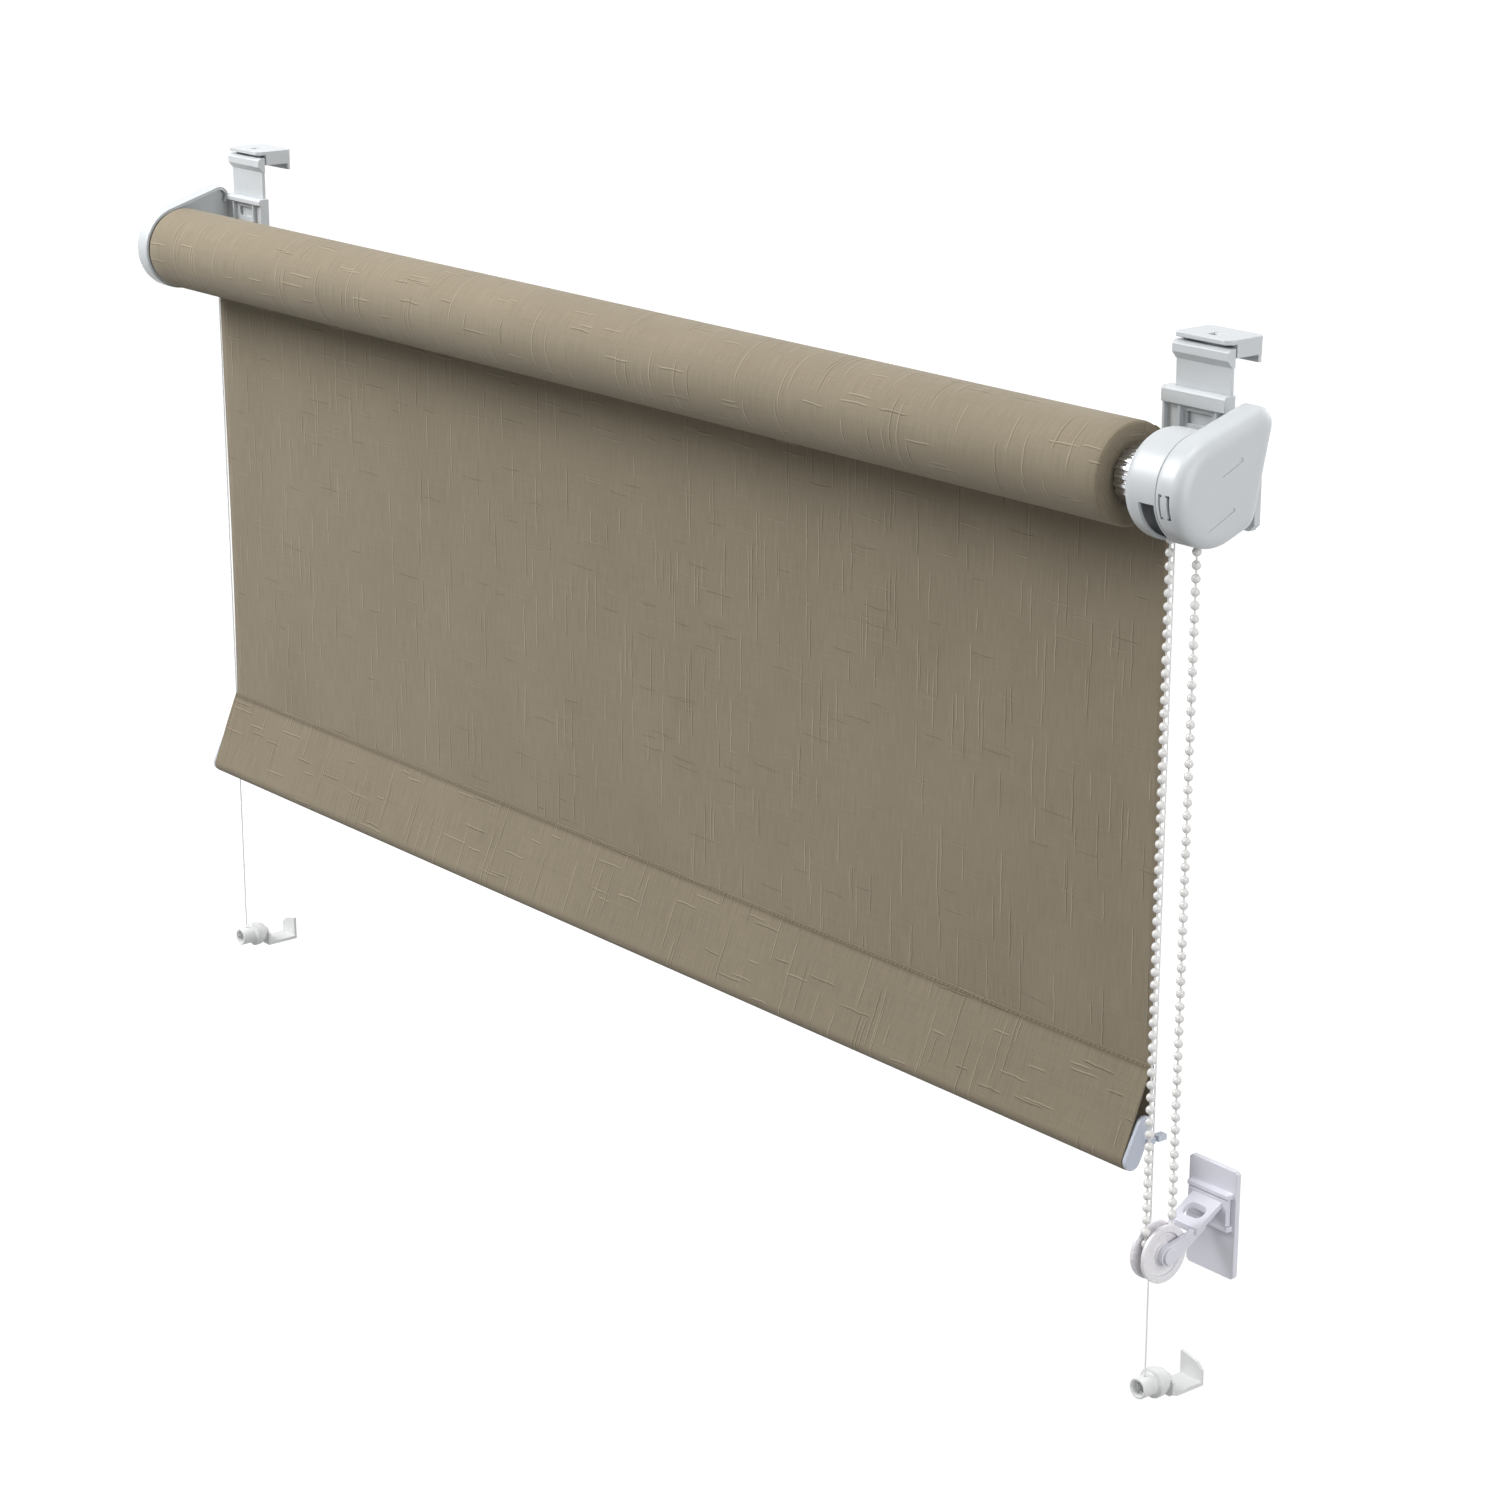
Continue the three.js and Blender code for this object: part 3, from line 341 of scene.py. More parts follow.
def pairUp(tree, first, second):
    both = tree.nodes.new("ShaderNodeCombineXYZ")
    tree.links.new(first, both.inputs[0])
    tree.links.new(second, both.inputs[1])
    return both.outputs[0]


def chance(tree, first, second):
    # An even random number for each pair of whole numbers.
    made = tree.nodes.new("ShaderNodeTexWhiteNoise")
    made.noise_dimensions = "2D"
    tree.links.new(pairUp(tree, first, second), made.inputs["Vector"])
    return made.outputs["Value"], splitUp(tree, made.outputs["Color"])


def slubs(tree, across, along, width, length, share):
    # Thick places in single threads: each thread is split into lengths that start at random. A share of
    # them swells as sin(pi * place across) and fades at both ends, some of them darker, with a painted
    # highlight on one flank and painted shade on the other, sin(2 pi * place across).
    stray = noise(tree, pairUp(tree, across, along), (slub["strayScale"], slub["strayScale"], 0))
    lane = maths(tree, "MULTIPLY_ADD", stray, slub["stray"], maths(tree, "DIVIDE", across, width))
    thread = maths(tree, "FLOOR", lane)
    first, _ = chance(tree, thread, times(tree, thread, slub["seed"]))
    first = times(tree, first, slub["starts"])
    run = maths(tree, "ADD", maths(tree, "DIVIDE", along, length), first)
    luck, (_, shade, reach) = chance(tree, thread, maths(tree, "FLOOR", run))
    side, litAndShadedFlank = (
        maths(tree, "SINE", times(tree, maths(tree, "FRACT", lane), turn))
        for turn in (math.pi, fullTurn))
    place = maths(tree, "ABSOLUTE", maths(tree, "MULTIPLY_ADD", maths(tree, "FRACT", run), 2.0, -1.0))
    reach = maths(tree, "MULTIPLY_ADD", reach, 1 - slub["shortest"], slub["shortest"])
    fade = between(tree, maths(tree, "DIVIDE", place, reach), 1.0, slub["fadeFrom"])
    there = times(tree, maths(tree, "LESS_THAN", luck, share), fade)
    tone = maths(tree, "SUBTRACT", slub["tone"], maths(tree, "LESS_THAN", shade, slub["darkShare"]))
    # Painted highlight and painted shade on the slub's two flanks, added to its own tone.
    tone = maths(tree, "MULTIPLY_ADD", litAndShadedFlank, slub["litAndShadedFlank"], times(tree, side, tone))
    return times(tree, there, side), times(tree, there, tone)


def wovenGroup():
    # Plain weave along the UV map, in metres: fine crossed threads, faint ribs, slubs with a painted
    # highlight and painted shade on their flanks, and mottling.
    group, given, put = nodeGroup("wovenLinen", {"Spot": None, "Slubs": 1.0}, ["Shade", "Height"])
    drift = noise(group, given["Spot"], (weave["driftScale"], weave["driftScale"], 0), detail=0.0)
    drift = times(group, drift, weave["drift"])
    u, v, _ = splitUp(group, given["Spot"])
    turns = [times(group, maths(group, "ADD", side, drift), math.pi / weave["thread"]) for side in (u, v)]
    fine = times(group, *(maths(group, "SINE", turn) for turn in turns))
    up, upTone = slubs(group, u, v, **weave["upright"])
    level, levelTone = slubs(group, v, u, **weave["level"])
    tone = times(group, maths(group, "ADD", upTone, levelTone), given["Slubs"])
    total = maths(group, "MULTIPLY_ADD", tone, weave["slubShare"], weave["middleTone"])
    for stretch, strength in weave["clouds"]:
        cloud = maths(group, "SUBTRACT", noise(group, given["Spot"], stretch, detail=1.5), 0.5)
        total = maths(group, "MULTIPLY_ADD", cloud, strength, total)
    group.links.new(maths(group, "MULTIPLY_ADD", fine, weave["threadTone"], total), put["Shade"])
    swell = times(group, maths(group, "MAXIMUM", up, level), given["Slubs"])
    group.links.new(maths(group, "MULTIPLY_ADD", fine, weave["threadHeight"], swell), put["Height"])
    return group


skin = {
    "cloud": (38,) * 3, "rub": (110,) * 3, "grain": (2600,) * 3, "rubTone": 0.4, "toneRange": (0.25, 0.75),
}
drawn = {"lines": (60, 2400, 2400), "cloud": (45,) * 3}
usualRange = (0.3, 0.7)


def skinGroup():
    # Moulded plastic: faint cloudy tone, satin roughness and a very fine grain.
    group, given, put = nodeGroup(
        "mouldedSkin", {"Spot": None, "Grain": 1.0}, ["Shade", "Roughness", "Height"])
    cloud = noise(group, given["Spot"], skin["cloud"], detail=3.0)
    rub = noise(group, given["Spot"], skin["rub"], detail=1.0)
    grain = noise(group, given["Spot"], skin["grain"], detail=1.0)
    tone = maths(group, "MULTIPLY_ADD", maths(group, "SUBTRACT", rub, 0.5), skin["rubTone"], cloud)
    group.links.new(between(group, tone, *skin["toneRange"]), put["Shade"])
    group.links.new(between(group, rub, *usualRange), put["Roughness"])
    group.links.new(times(group, grain, given["Grain"]), put["Height"])
    return group


def drawnGroup():
    # Metal with fine lines along the X axis.
    group, given, put = nodeGroup("drawnMetal", {"Spot": None}, ["Shade", "Roughness", "Height"])
    lines = noise(group, given["Spot"], drawn["lines"], detail=3.0, rough=0.6)
    cloud = noise(group, given["Spot"], drawn["cloud"], detail=2.0)
    group.links.new(between(group, cloud, *usualRange), put["Shade"])
    group.links.new(between(group, lines, *usualRange), put["Roughness"])
    group.links.new(lines, put["Height"])
    return group


groups = {"woven": wovenGroup(), "skin": skinGroup(), "drawn": drawnGroup()}
print("shader groups made:", len(groups))


# Materials

def mixed(tree, kind, factor, first, second):
    # Two colours mixed by the blend type named, as far as the factor says.
    made = tree.nodes.new("ShaderNodeMix")
    made.data_type = "RGBA"
    made.blend_type = kind
    for label, value in (("Factor", factor), ("A", first), ("B", second)):
        joinUp(tree, value, made.inputs[label])
    return made.outputs["Result"]


def newMaterial(name, groupName, spotKind, deep, pale, roughness, bump, **settings):
    # A Principled finish whose colour goes from deep to pale by the group's shade.
    material = bpy.data.materials.new(name)
    material.use_nodes = True
    tree = material.node_tree
    shader = tree.nodes["Principled BSDF"]
    effect = tree.nodes.new("ShaderNodeGroup")
    effect.node_tree = groups[groupName]
    if spotKind == "UV":
        spot = tree.nodes.new("ShaderNodeUVMap")
        spot.uv_map = "cloth"
    else:
        spot = tree.nodes.new("ShaderNodeTexCoord")
    tree.links.new(spot.outputs[spotKind], effect.inputs["Spot"])
    tint = mixed(tree, "MIX", effect.outputs["Shade"], (*deep, 1), (*pale, 1))
    tree.links.new(tint, shader.inputs["Base Color"])
    if isinstance(roughness, tuple):
        roughness = between(tree, effect.outputs["Roughness"], 0, 1, *roughness)
    joinUp(tree, roughness, shader.inputs["Roughness"])
    relief = tree.nodes.new("ShaderNodeBump")
    relief.inputs["Strength"].default_value = bump[0]
    relief.inputs["Distance"].default_value = bump[1]
    tree.links.new(effect.outputs["Height"], relief.inputs["Height"])
    tree.links.new(relief.outputs["Normal"], shader.inputs["Normal"])
    for label, value in settings.items():
        shader.inputs[label].default_value = value
    return material


linenTones = {"deep": (0.176, 0.146, 0.099), "pale": (0.346, 0.294, 0.213)}
linen = newMaterial(
    "linen", "woven", "UV", linenTones["deep"], linenTones["pale"], 0.88, (0.6, 0.3 * mm),
    **{"Specular IOR Level": 0.25, "Sheen Weight": 0.12, "Sheen Roughness": 0.5})
# Colour multiplied in for painted shade.
paintedShadeTone = (0.42, 0.4, 0.37, 1)


def addPaintedShade(material):
    # Painted shade: darkens the colour as far as the mesh's own attribute says, for the shade in the seam's
    # crease and over the hem.
    tree = material.node_tree
    colour = tree.nodes["Principled BSDF"].inputs["Base Color"]
    paintedShade = tree.nodes.new("ShaderNodeAttribute")
    paintedShade.attribute_name = "paintedShade"
    plain = colour.links[0].from_socket
    tree.links.new(mixed(tree, "MULTIPLY", paintedShade.outputs["Fac"], plain, paintedShadeTone), colour)


def markPaintedShade(mesh, amount):
    # Painted shade: amount(points) gives its strength at each vertex.
    points = np.zeros(len(mesh.vertices) * 3)
    mesh.vertices.foreach_get("co", points)
    layer = mesh.attributes.new("paintedShade", "FLOAT", "POINT")
    layer.data.foreach_set("value", amount(points.reshape(-1, 3)).astype(np.float32))


# The linen takes painted shade wherever a mesh's attribute asks for it.
addPaintedShade(linen)
# The roll's sizes; the last two set the painted shade in the gaps between the layers on its ends.
rollSizes = {
    "layer": 0.6 * mm, "relief": 0.25 * mm, "edgeRound": 1.6 * mm, "cutInside": 0.56 * mm,
    "boreGap": 0.3 * mm, "samplesPerLayer": 4, "around": 192, "along": 90, "swell": 0.06 * mm,
    "swellLength": 41 * mm, "swellStart": 1.1, "slubs": 0.2, "gapWidth": 0.4, "gapShadeTone": 0.35,
}


def shadedLinenEnds():
    # The roll's ends: the cloth's cut edges as a spiral, in a far darker copy of the linen, painted shade,
    # and darker still in the gaps between the layers, painted shade.
    material = newMaterial(
        "linenEndsShaded", "woven", "UV", (0.034, 0.029, 0.022), (0.066, 0.058, 0.044), 0.92, (0.3, 0.2 * mm))
    tree = material.node_tree
    tree.nodes["Group"].inputs["Slubs"].default_value = rollSizes["slubs"]
    colour = tree.nodes["Principled BSDF"].inputs["Base Color"]
    place = tree.nodes.new("ShaderNodeTexCoord")
    sides = zip(splitUp(tree, place.outputs["Object"])[1:], rollSpot)
    y, z = (maths(tree, "SUBTRACT", side, centre) for side, centre in sides)
    squares = [times(tree, side, side) for side in (y, z)]
    radius = maths(tree, "SQRT", maths(tree, "ADD", *squares))
    turn = maths(tree, "DIVIDE", maths(tree, "ARCTAN2", z, y), fullTurn)
    layer = maths(tree, "SUBTRACT", maths(tree, "DIVIDE", radius, rollSizes["layer"]), turn)
    wave = maths(tree, "COSINE", times(tree, layer, fullTurn))
    # Painted shade in the gaps between the layers.
    shade = between(tree, wave, -1.0, rollSizes["gapWidth"], rollSizes["gapShadeTone"], 1.0)
    tree.links.new(mixed(tree, "MULTIPLY", 1.0, colour.links[0].from_socket, shade), colour)
    return material


linenEndsShaded = shadedLinenEnds()


def plastic(name, deep, pale, roughness=(0.3, 0.36), bump=(0.03, 0.02 * mm), **settings):
    return newMaterial(name, "skin", "Object", deep, pale, roughness, bump, **settings)


whitePlastic = plastic("whitePlastic", (0.565, 0.593, 0.612), (0.581, 0.608, 0.627))
capPlastic = plastic("capPlastic", (0.51, 0.55, 0.63), (0.56, 0.6, 0.68))
tensionerPlastic = plastic("tensionerPlastic", (0.7, 0.7, 0.775), (0.74, 0.74, 0.81))
clipPlastic = plastic("clipPlastic", (0.73, 0.745, 0.74), (0.78, 0.79, 0.785))
milkyPlastic = plastic(
    "milkyPlastic", (0.8, 0.79, 0.775), (0.84, 0.835, 0.82), (0.16, 0.26),
    **{"Transmission Weight": 0.12, "Coat Weight": 0.3})
milkyWheel = plastic(
    "milkyWheel", (0.86, 0.84, 0.88), (0.9, 0.885, 0.915), (0.18, 0.28),
    **{"Transmission Weight": 0.1, "Coat Weight": 0.3})
nylon = plastic("guideNylon", (0.8, 0.81, 0.81), (0.86, 0.87, 0.87), (0.2, 0.3))


def metal(name, deep, pale, roughness, bump=(0.1, 0.03 * mm)):
    return newMaterial(name, "drawn", "Object", deep, pale, roughness, bump, Metallic=1.0)


ringAluminium = metal("ringAluminium", (0.5, 0.51, 0.545), (0.66, 0.67, 0.7), (0.1, 0.22))
tubeAluminium = metal("tubeAluminium", (0.62, 0.63, 0.65), (0.74, 0.75, 0.77), (0.28, 0.45))
barAluminium = metal("barAluminium", (0.68, 0.69, 0.7), (0.8, 0.81, 0.82), (0.3, 0.48))
springSteel = metal("springSteel", (0.42, 0.43, 0.45), (0.56, 0.57, 0.59), (0.25, 0.4))


def foam(name, deep, pale, roughness=(0.85, 0.95), bump=(0.5, 0.2 * mm)):
    # Closed-cell foam: a rougher skin and hardly any gloss.
    return newMaterial(name, "skin", "Object", deep, pale, roughness, bump, **{"Specular IOR Level": 0.2})


hookFoam = foam("hookFoam", (0.42, 0.43, 0.45), (0.52, 0.53, 0.55))
tapeFoam = foam("tapeFoam", (0.66, 0.66, 0.63), (0.76, 0.76, 0.73))
thread = newMaterial(
    "stitchThread", "woven", "UV", (0.17, 0.145, 0.105), (0.3, 0.26, 0.2), 0.8, (0.3, 0.1 * mm))
print("materials made")


# Roll of cloth

def clothRoll():
    # The section of the wound cloth, from the bore out over one end, along the outside and back over
    # the other, carried round X. The ends carry a spiral relief, cos(2 pi (r / layer - a / 2 pi)), and
    # the outside swells a little as sin(x / length) sin(2 a + start).
    soft = rollSizes["edgeRound"]
    bore = tubeRadius + rollSizes["boreGap"]
    rings = int((rollRadius - bore) / rollSizes["layer"] * rollSizes["samplesPerLayer"])
    outward = np.linspace(bore, rollRadius, rings)
    side = rollEnd - soft
    lengthwise = np.linspace(-side, side, rollSizes["along"])
    over = np.clip((outward - rollRadius) / soft + 1, 0, 1)
    face = rollEnd - soft * (1 - np.sqrt(1 - over ** 2))
    x = np.concatenate([-face, lengthwise[1:-1], face[::-1]])
    r = np.concatenate([outward, np.full(len(lengthwise) - 2, rollRadius), outward[::-1]])
    a = np.arange(rollSizes["around"] + 1) * fullTurn / rollSizes["around"]
    onEnd = r < rollRadius - 1e-9
    wave = 0.5 - 0.5 * np.cos(fullTurn * (r[:, None] / rollSizes["layer"] - a / fullTurn))
    sunk = np.where(onEnd[:, None], wave * rollSizes["relief"], 0) * np.sign(x)[:, None]
    swell = rollSizes["swell"] * np.sin(x / rollSizes["swellLength"])[:, None]
    swell = swell * np.sin(2 * a + rollSizes["swellStart"])
    radius = r[:, None] + swell * ~onEnd[:, None]
    points = spread(x[:, None] - sunk, rollAxis.y + radius * np.cos(a), rollAxis.z + radius * np.sin(a))
    along = np.where(onEnd, np.sign(x) * (rollEnd + rollRadius - r), x)
    uv = spread(along[:, None], a * rollRadius)
    uv = np.concatenate([uv, uv[:1]])
    mesh = meshOf("clothRoll", grid(points[:, :-1], uv=uv))
    centre = np.zeros(len(mesh.polygons) * 3)
    mesh.polygons.foreach_get("center", centre)
    x, y, z = centre.reshape(-1, 3).T
    out = np.hypot(y - rollAxis.y, z - rollAxis.z)
    # The faces on the ends take the darker linen, painted shade.
    cutEdge = (np.abs(x) > side) & (out < rollRadius - rollSizes["cutInside"])
    mesh.polygons.foreach_set("material_index", cutEdge.astype(np.int32))
    return mesh


addPiece("clothRoll", clothRoll(), "roller", [linen, linenEndsShaded], ["fabric_roll"])
print("roll of cloth made")

# Hanging sheet
sheetLow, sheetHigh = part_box("hanging_cloth")
sheetY = (sheetLow.y + sheetHigh.y) / 2
sheetSizes = {
    "thickness": 0.5 * mm, "across": 150, "down": 120, "lapAngle": 1.0, "lapRows": 14, "lapSunk": 0.22 * mm,
    "footHeight": 8 * mm, "footRows": 15, "tuck": 3 * mm, "ripple": 0.5 * mm, "endPower": 0.8,
    "edgeFlare": 0.8, "edgePower": 12,
    "waves": ((0.6, 83 * mm, 0, 0.7), (0.4, 47 * mm, 9, 2), (0.5, 250 * mm, 11, 0)), "stillEnds": 26 * mm,
}


def sheetRipple(x, drop):
    # Slow waves, sin(x / length + turn * drop + start), that die out at the top and at the hem.
    share = np.clip(drop / (sheetHigh.z - sheetLow.z), 0, 1)
    waves = sum(
        size * np.sin(x / length + turn * drop + start)
        for size, length, turn, start in sheetSizes["waves"])
    edge = 1 + sheetSizes["edgeFlare"] * (np.abs(x) / rollEnd) ** sheetSizes["edgePower"]
    return sheetSizes["ripple"] * waves * edge * np.sin(math.pi * share) ** sheetSizes["endPower"]


def clothSheet():
    # A curtain of points (x, drop): an arc lapped on the roll's back, then straight down with slow
    # ripples, then a short tuck into the hem.
    lap = np.linspace(sheetSizes["lapAngle"], 0, sheetSizes["lapRows"], endpoint=False)
    lapRadii = [sheetY - rollAxis.y, rollRadius - sheetSizes["lapSunk"]]
    lapRadius = np.interp(lap, [0, sheetSizes["lapAngle"]], lapRadii)
    foot = rollAxis.z - sheetLow.z
    bend = foot - sheetSizes["footHeight"]
    drops = np.linspace(0, bend, sheetSizes["down"])
    footDrops = np.linspace(bend, foot + sheetSizes["tuck"], sheetSizes["footRows"])
    drops = np.concatenate([drops[:-1], footDrops])
    x = np.linspace(-rollEnd, rollEnd, sheetSizes["across"])
    lapY = rollAxis.y + lapRadius * np.cos(lap)
    lapZ = rollAxis.z + lapRadius * np.sin(lap)
    downY = sheetY + sheetRipple(x, drops[:, None])
    allY = np.concatenate([np.repeat(lapY[:, None], len(x), axis=1), downY])
    allZ = np.concatenate([lapZ, rollAxis.z - drops])
    points = spread(x, allY, allZ[:, None])
    middleLine = points[:, len(x) // 2, 1:]
    length = np.concatenate([[0], np.cumsum(np.linalg.norm(np.diff(middleLine, axis=0), axis=1))])
    uv = spread(x, -length[:, None])
    return meshOf("clothSheet", grid(points, (False, False), uv)), length[-1]


# Painted shade: its strength at the seam's line and its reach, where that line lies before and below the
# hem's top, and its strength over the whole hem.
paintedShadeSizes = {"seam": 0.8, "reach": 1.5 * mm, "forward": 1.2 * mm, "down": 1.6 * mm, "hem": 0.17}
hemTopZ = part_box("hem_pocket")[1].z
seamLine = (sheetY - paintedShadeSizes["forward"], hemTopZ - paintedShadeSizes["down"])


def seamShadeStrength(points):
    # Painted shade at the seam: its strength falls with the distance d from the seam's line as exp(-(d /
    # reach)^2).
    away = np.hypot(points[:, 1] - seamLine[0], points[:, 2] - seamLine[1])
    return paintedShadeSizes["seam"] * np.exp(-(away / paintedShadeSizes["reach"]) ** 2)


sheetMesh, sheetLength = clothSheet()
# Painted shade along the seam on the sheet.
markPaintedShade(sheetMesh, seamShadeStrength)
clothSheetPiece = addPiece("clothSheet", sheetMesh, None, linen, ["hanging_cloth"])
thicken = clothSheetPiece.modifiers.new("cloth", "SOLIDIFY")
thicken.thickness = sheetSizes["thickness"]
thicken.offset = 0
print("sheet made, flat length", round(sheetLength, 4))

# Hem round the bottom bar
barLow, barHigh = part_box("bottom_bar")
hemSizes = {
    "wall": 0.75 * mm, "barRadius": 4.2 * mm, "play": 0.3 * mm, "seamRadius": 1.15 * mm, "around": 132,
    "along": 320, "beltSteps": 720, "uvShift": 10 * mm,
    "pucker": 0.22 * mm, "puckerStart": 3 * mm, "puckerReach": 13 * mm,
    "gather": (2.1 * mm, 13 * mm, 31 * mm), "sag": 0.25, "sagLength": 60 * mm,
    "sagReach": (20 * mm, 28 * mm), "sagFade": 10 * mm,
    "bulge": 1.3 * mm, "bulgeRise": 2.6 * mm, "bulgeReach": 26 * mm,
    "bulgeWaves": ((0.25, 45 * mm), (0.12, 11 * mm)),
}
hemTop = np.array([barHigh.y - hemSizes["barRadius"], barHigh.z - hemSizes["barRadius"]])
hemFoot = np.array([barLow.y + hemSizes["barRadius"], barLow.z + hemSizes["barRadius"]])
seamSpot = np.array([sheetY, hemTopZ - hemSizes["seamRadius"]])


def hemPocket():
    # A belt of cloth round the bar's two round edges and the seam, carried along X. Away from the seam
    # it bulges as 1 - exp(-d / rise) and its puckers, sin(x / fine + 2 sin(x / stray)), fade; an inner
    # belt closes the wall.
    def ring(grow, seamRadius):
        radius = hemSizes["barRadius"] + hemSizes["play"] + grow
        circles = [[*hemTop, radius], [*hemFoot, radius], [*seamSpot, seamRadius]]
        return evenly(belt(circles, steps=hemSizes["beltSteps"]), hemSizes["around"])

    outer, at = ring(hemSizes["wall"], hemSizes["seamRadius"])
    inner, _ = ring(0, hemSizes["seamRadius"] - hemSizes["wall"])
    x = np.linspace(-rollEnd, rollEnd, hemSizes["along"])[:, None]
    away = np.linalg.norm(outer - seamSpot, axis=1)
    fade = np.clip(1 - away / hemSizes["puckerReach"], 0, 1) ** 2
    fade = fade * np.clip(away / hemSizes["puckerStart"], 0, 1)
    fine, stray, slow = hemSizes["gather"]
    gather = np.sin(x / fine + 2 * np.sin(x / stray)) * (0.6 + 0.4 * np.sin(x / slow))
    sagFrom, sagTo = hemSizes["sagReach"]
    sag = hemSizes["sag"] * np.sin(x / hemSizes["sagLength"] + 1)
    sag = sag * np.clip(away / sagFrom, 0, 1) * np.clip((sagTo - away) / hemSizes["sagFade"], 0, 1)
    rise = 1 - np.exp(-np.clip(away - hemSizes["seamRadius"], 0, None) / hemSizes["bulgeRise"])
    waves = 1 + sum(size * np.sin(x / length) for size, length in hemSizes["bulgeWaves"])
    bulge = rise * np.clip(1 - away / hemSizes["bulgeReach"], 0, 1) * waves
    push = (gather * fade + sag) * hemSizes["pucker"] + bulge * hemSizes["bulge"]
    outwards = outer - outer.mean(axis=0)
    outwards = outwards / np.linalg.norm(outwards, axis=1)[:, None]
    pushed = outer + push[..., None] * outwards
    backX = np.array([rollEnd, -rollEnd])[:, None]
    points = np.concatenate([
        spread(x, pushed[..., 0], pushed[..., 1]), spread(backX, inner[:, 0], inner[:, 1])])
    uv = spread(np.concatenate([x, backX + hemSizes["uvShift"]]), at)
    uv = np.concatenate([uv, uv[:1]])
    return meshOf("hemPocket", grid(points, uv=uv), sharp=50)


hemMesh = hemPocket()
# Painted shade over the whole hem, and more of it at the seam.
markPaintedShade(hemMesh, lambda points: paintedShadeSizes["hem"] + seamShadeStrength(points) * (1 - paintedShadeSizes["hem"]))
hemPiece = addPiece("hemPocket", hemMesh, "bottom_rail", linen, ["hem_pocket"])

stitchSizes = {
    "pitch": 3.1 * mm, "length": 2.1 * mm, "radius": 0.3 * mm, "down": 1.4 * mm, "proud": 0.1 * mm,
    "sides": 6, "rings": 5,
}


def unitBall(rings, sides):
    # (rings, sides, 3) points of a unit ball, its poles on the X axis.
    t = np.linspace(0, math.pi, rings)[:, None]
    a = roundTurn(sides)
    return spread(np.cos(t), np.sin(t) * np.cos(a), np.sin(t) * np.sin(a))


def repeated(shape, places):
    # The same small closed grid at every place, as one grid.
    points, quads, uv = grid(shape, (False, True))
    starts = np.arange(len(places)) * len(points)
    allPoints = (places[:, None, :] + points).reshape(-1, 3)
    return allPoints, (starts[:, None, None] + quads).reshape(-1, 4), np.tile(uv, (len(places), 1, 1))


def stitches():
    # One row of short threads, front and back, sunk by half in the crease of the seam.
    ball = unitBall(stitchSizes["rings"], stitchSizes["sides"])
    ball = ball * [stitchSizes["length"] / 2, stitchSizes["radius"], stitchSizes["radius"]]
    x = np.arange(-rollEnd + stitchSizes["pitch"], rollEnd - stitchSizes["pitch"] / 2, stitchSizes["pitch"])
    out = hemSizes["seamRadius"] + stitchSizes["proud"]
    rows = [spread(x, sheetY + side * out, hemTopZ - stitchSizes["down"]) for side in (-1, 1)]
    return meshOf("hemStitches", repeated(ball, np.concatenate(rows)), sharp=80)


stitchPiece = addPiece("hemStitches", stitches(), "bottom_rail", thread)
print("hem and stitches made")

# Covers
coverSizes = {
    "wall": 1.6 * mm, "hornRadius": 6 * mm, "heelRadius": 8 * mm, "heelDown": 11.5 * mm, "rim": 8 * mm,
    "rimShares": (0.4, 0.8), "lipRound": 0.6 * mm, "lipShares": (1, 0.7, 0.35), "faceShare": 0.66,
    "faceCentre": (0.16, 0.1), "faceRows": 7, "domeRows": 26, "domePower": 0.85, "past": 2 * mm,
    "armFront": 20 * mm, "armTop": 24.3 * mm, "armBottom": -15.3 * mm, "armClear": 0.3 * mm,
}


def coverOutline(node, grow=0.0):
    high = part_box(node)[1]
    horn = coverSizes["hornRadius"]
    heel = coverSizes["heelRadius"]
    return belt([
        (rollAxis.y, rollAxis.z, drumRadius), (high.y - horn, high.z - horn, horn),
        (rollAxis.y + drumRadius - heel, rollAxis.z - coverSizes["heelDown"], heel)], grow)


def coverShell(node, side):
    # A dished shell: the outline runs straight along the rim, then over a dome where the outline's
    # share falls as a power of cos(t) and the reach grows as that of sin(t), and closes on a flat face.
    low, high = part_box(node)
    start, face = (low.x, high.x) if side > 0 else (high.x, low.x)
    depth = abs(face - start)
    rim, wall = coverSizes["rim"], coverSizes["wall"]
    faceShare, power = coverSizes["faceShare"], coverSizes["domePower"]
    centre = rollSpot + np.array(coverSizes["faceCentre"]) * drumRadius
    t = np.linspace(0, math.pi / 2, coverSizes["domeRows"])
    lips = np.array(coverSizes["lipShares"])

    def shell(grow, dome, lipRound):
        share = faceShare + (1 - faceShare) * np.cos(t) ** power
        flat = np.linspace(faceShare, 0, coverSizes["faceRows"])[1:]
        shares = np.concatenate([[1, 1, 1], share, flat])[:, None, None]
        lipRings = [coverOutline(node, grow - lipRound * lip) for lip in lips]
        yz = np.concatenate([lipRings, centre + (coverOutline(node, grow) - centre) * shares])
        onRim = [lipRound, *(rim * one for one in coverSizes["rimShares"])]
        reaches = np.concatenate([
            lipRound * (1 - np.sqrt(1 - lips ** 2)), onRim, rim + dome * np.sin(t) ** power,
            np.full(len(flat), rim + dome)])
        return spread(start + side * reaches[:, None], yz[..., 0], yz[..., 1])

    outer = shell(0.0, depth - rim, coverSizes["lipRound"])
    inner = shell(-wall, depth - rim - wall, 0.0)
    lip = np.stack([outer[0], inner[0]])
    return meshOf(node + "_shell", *(grid(p, (False, True)) for p in (outer, inner, lip)), sharp=32)


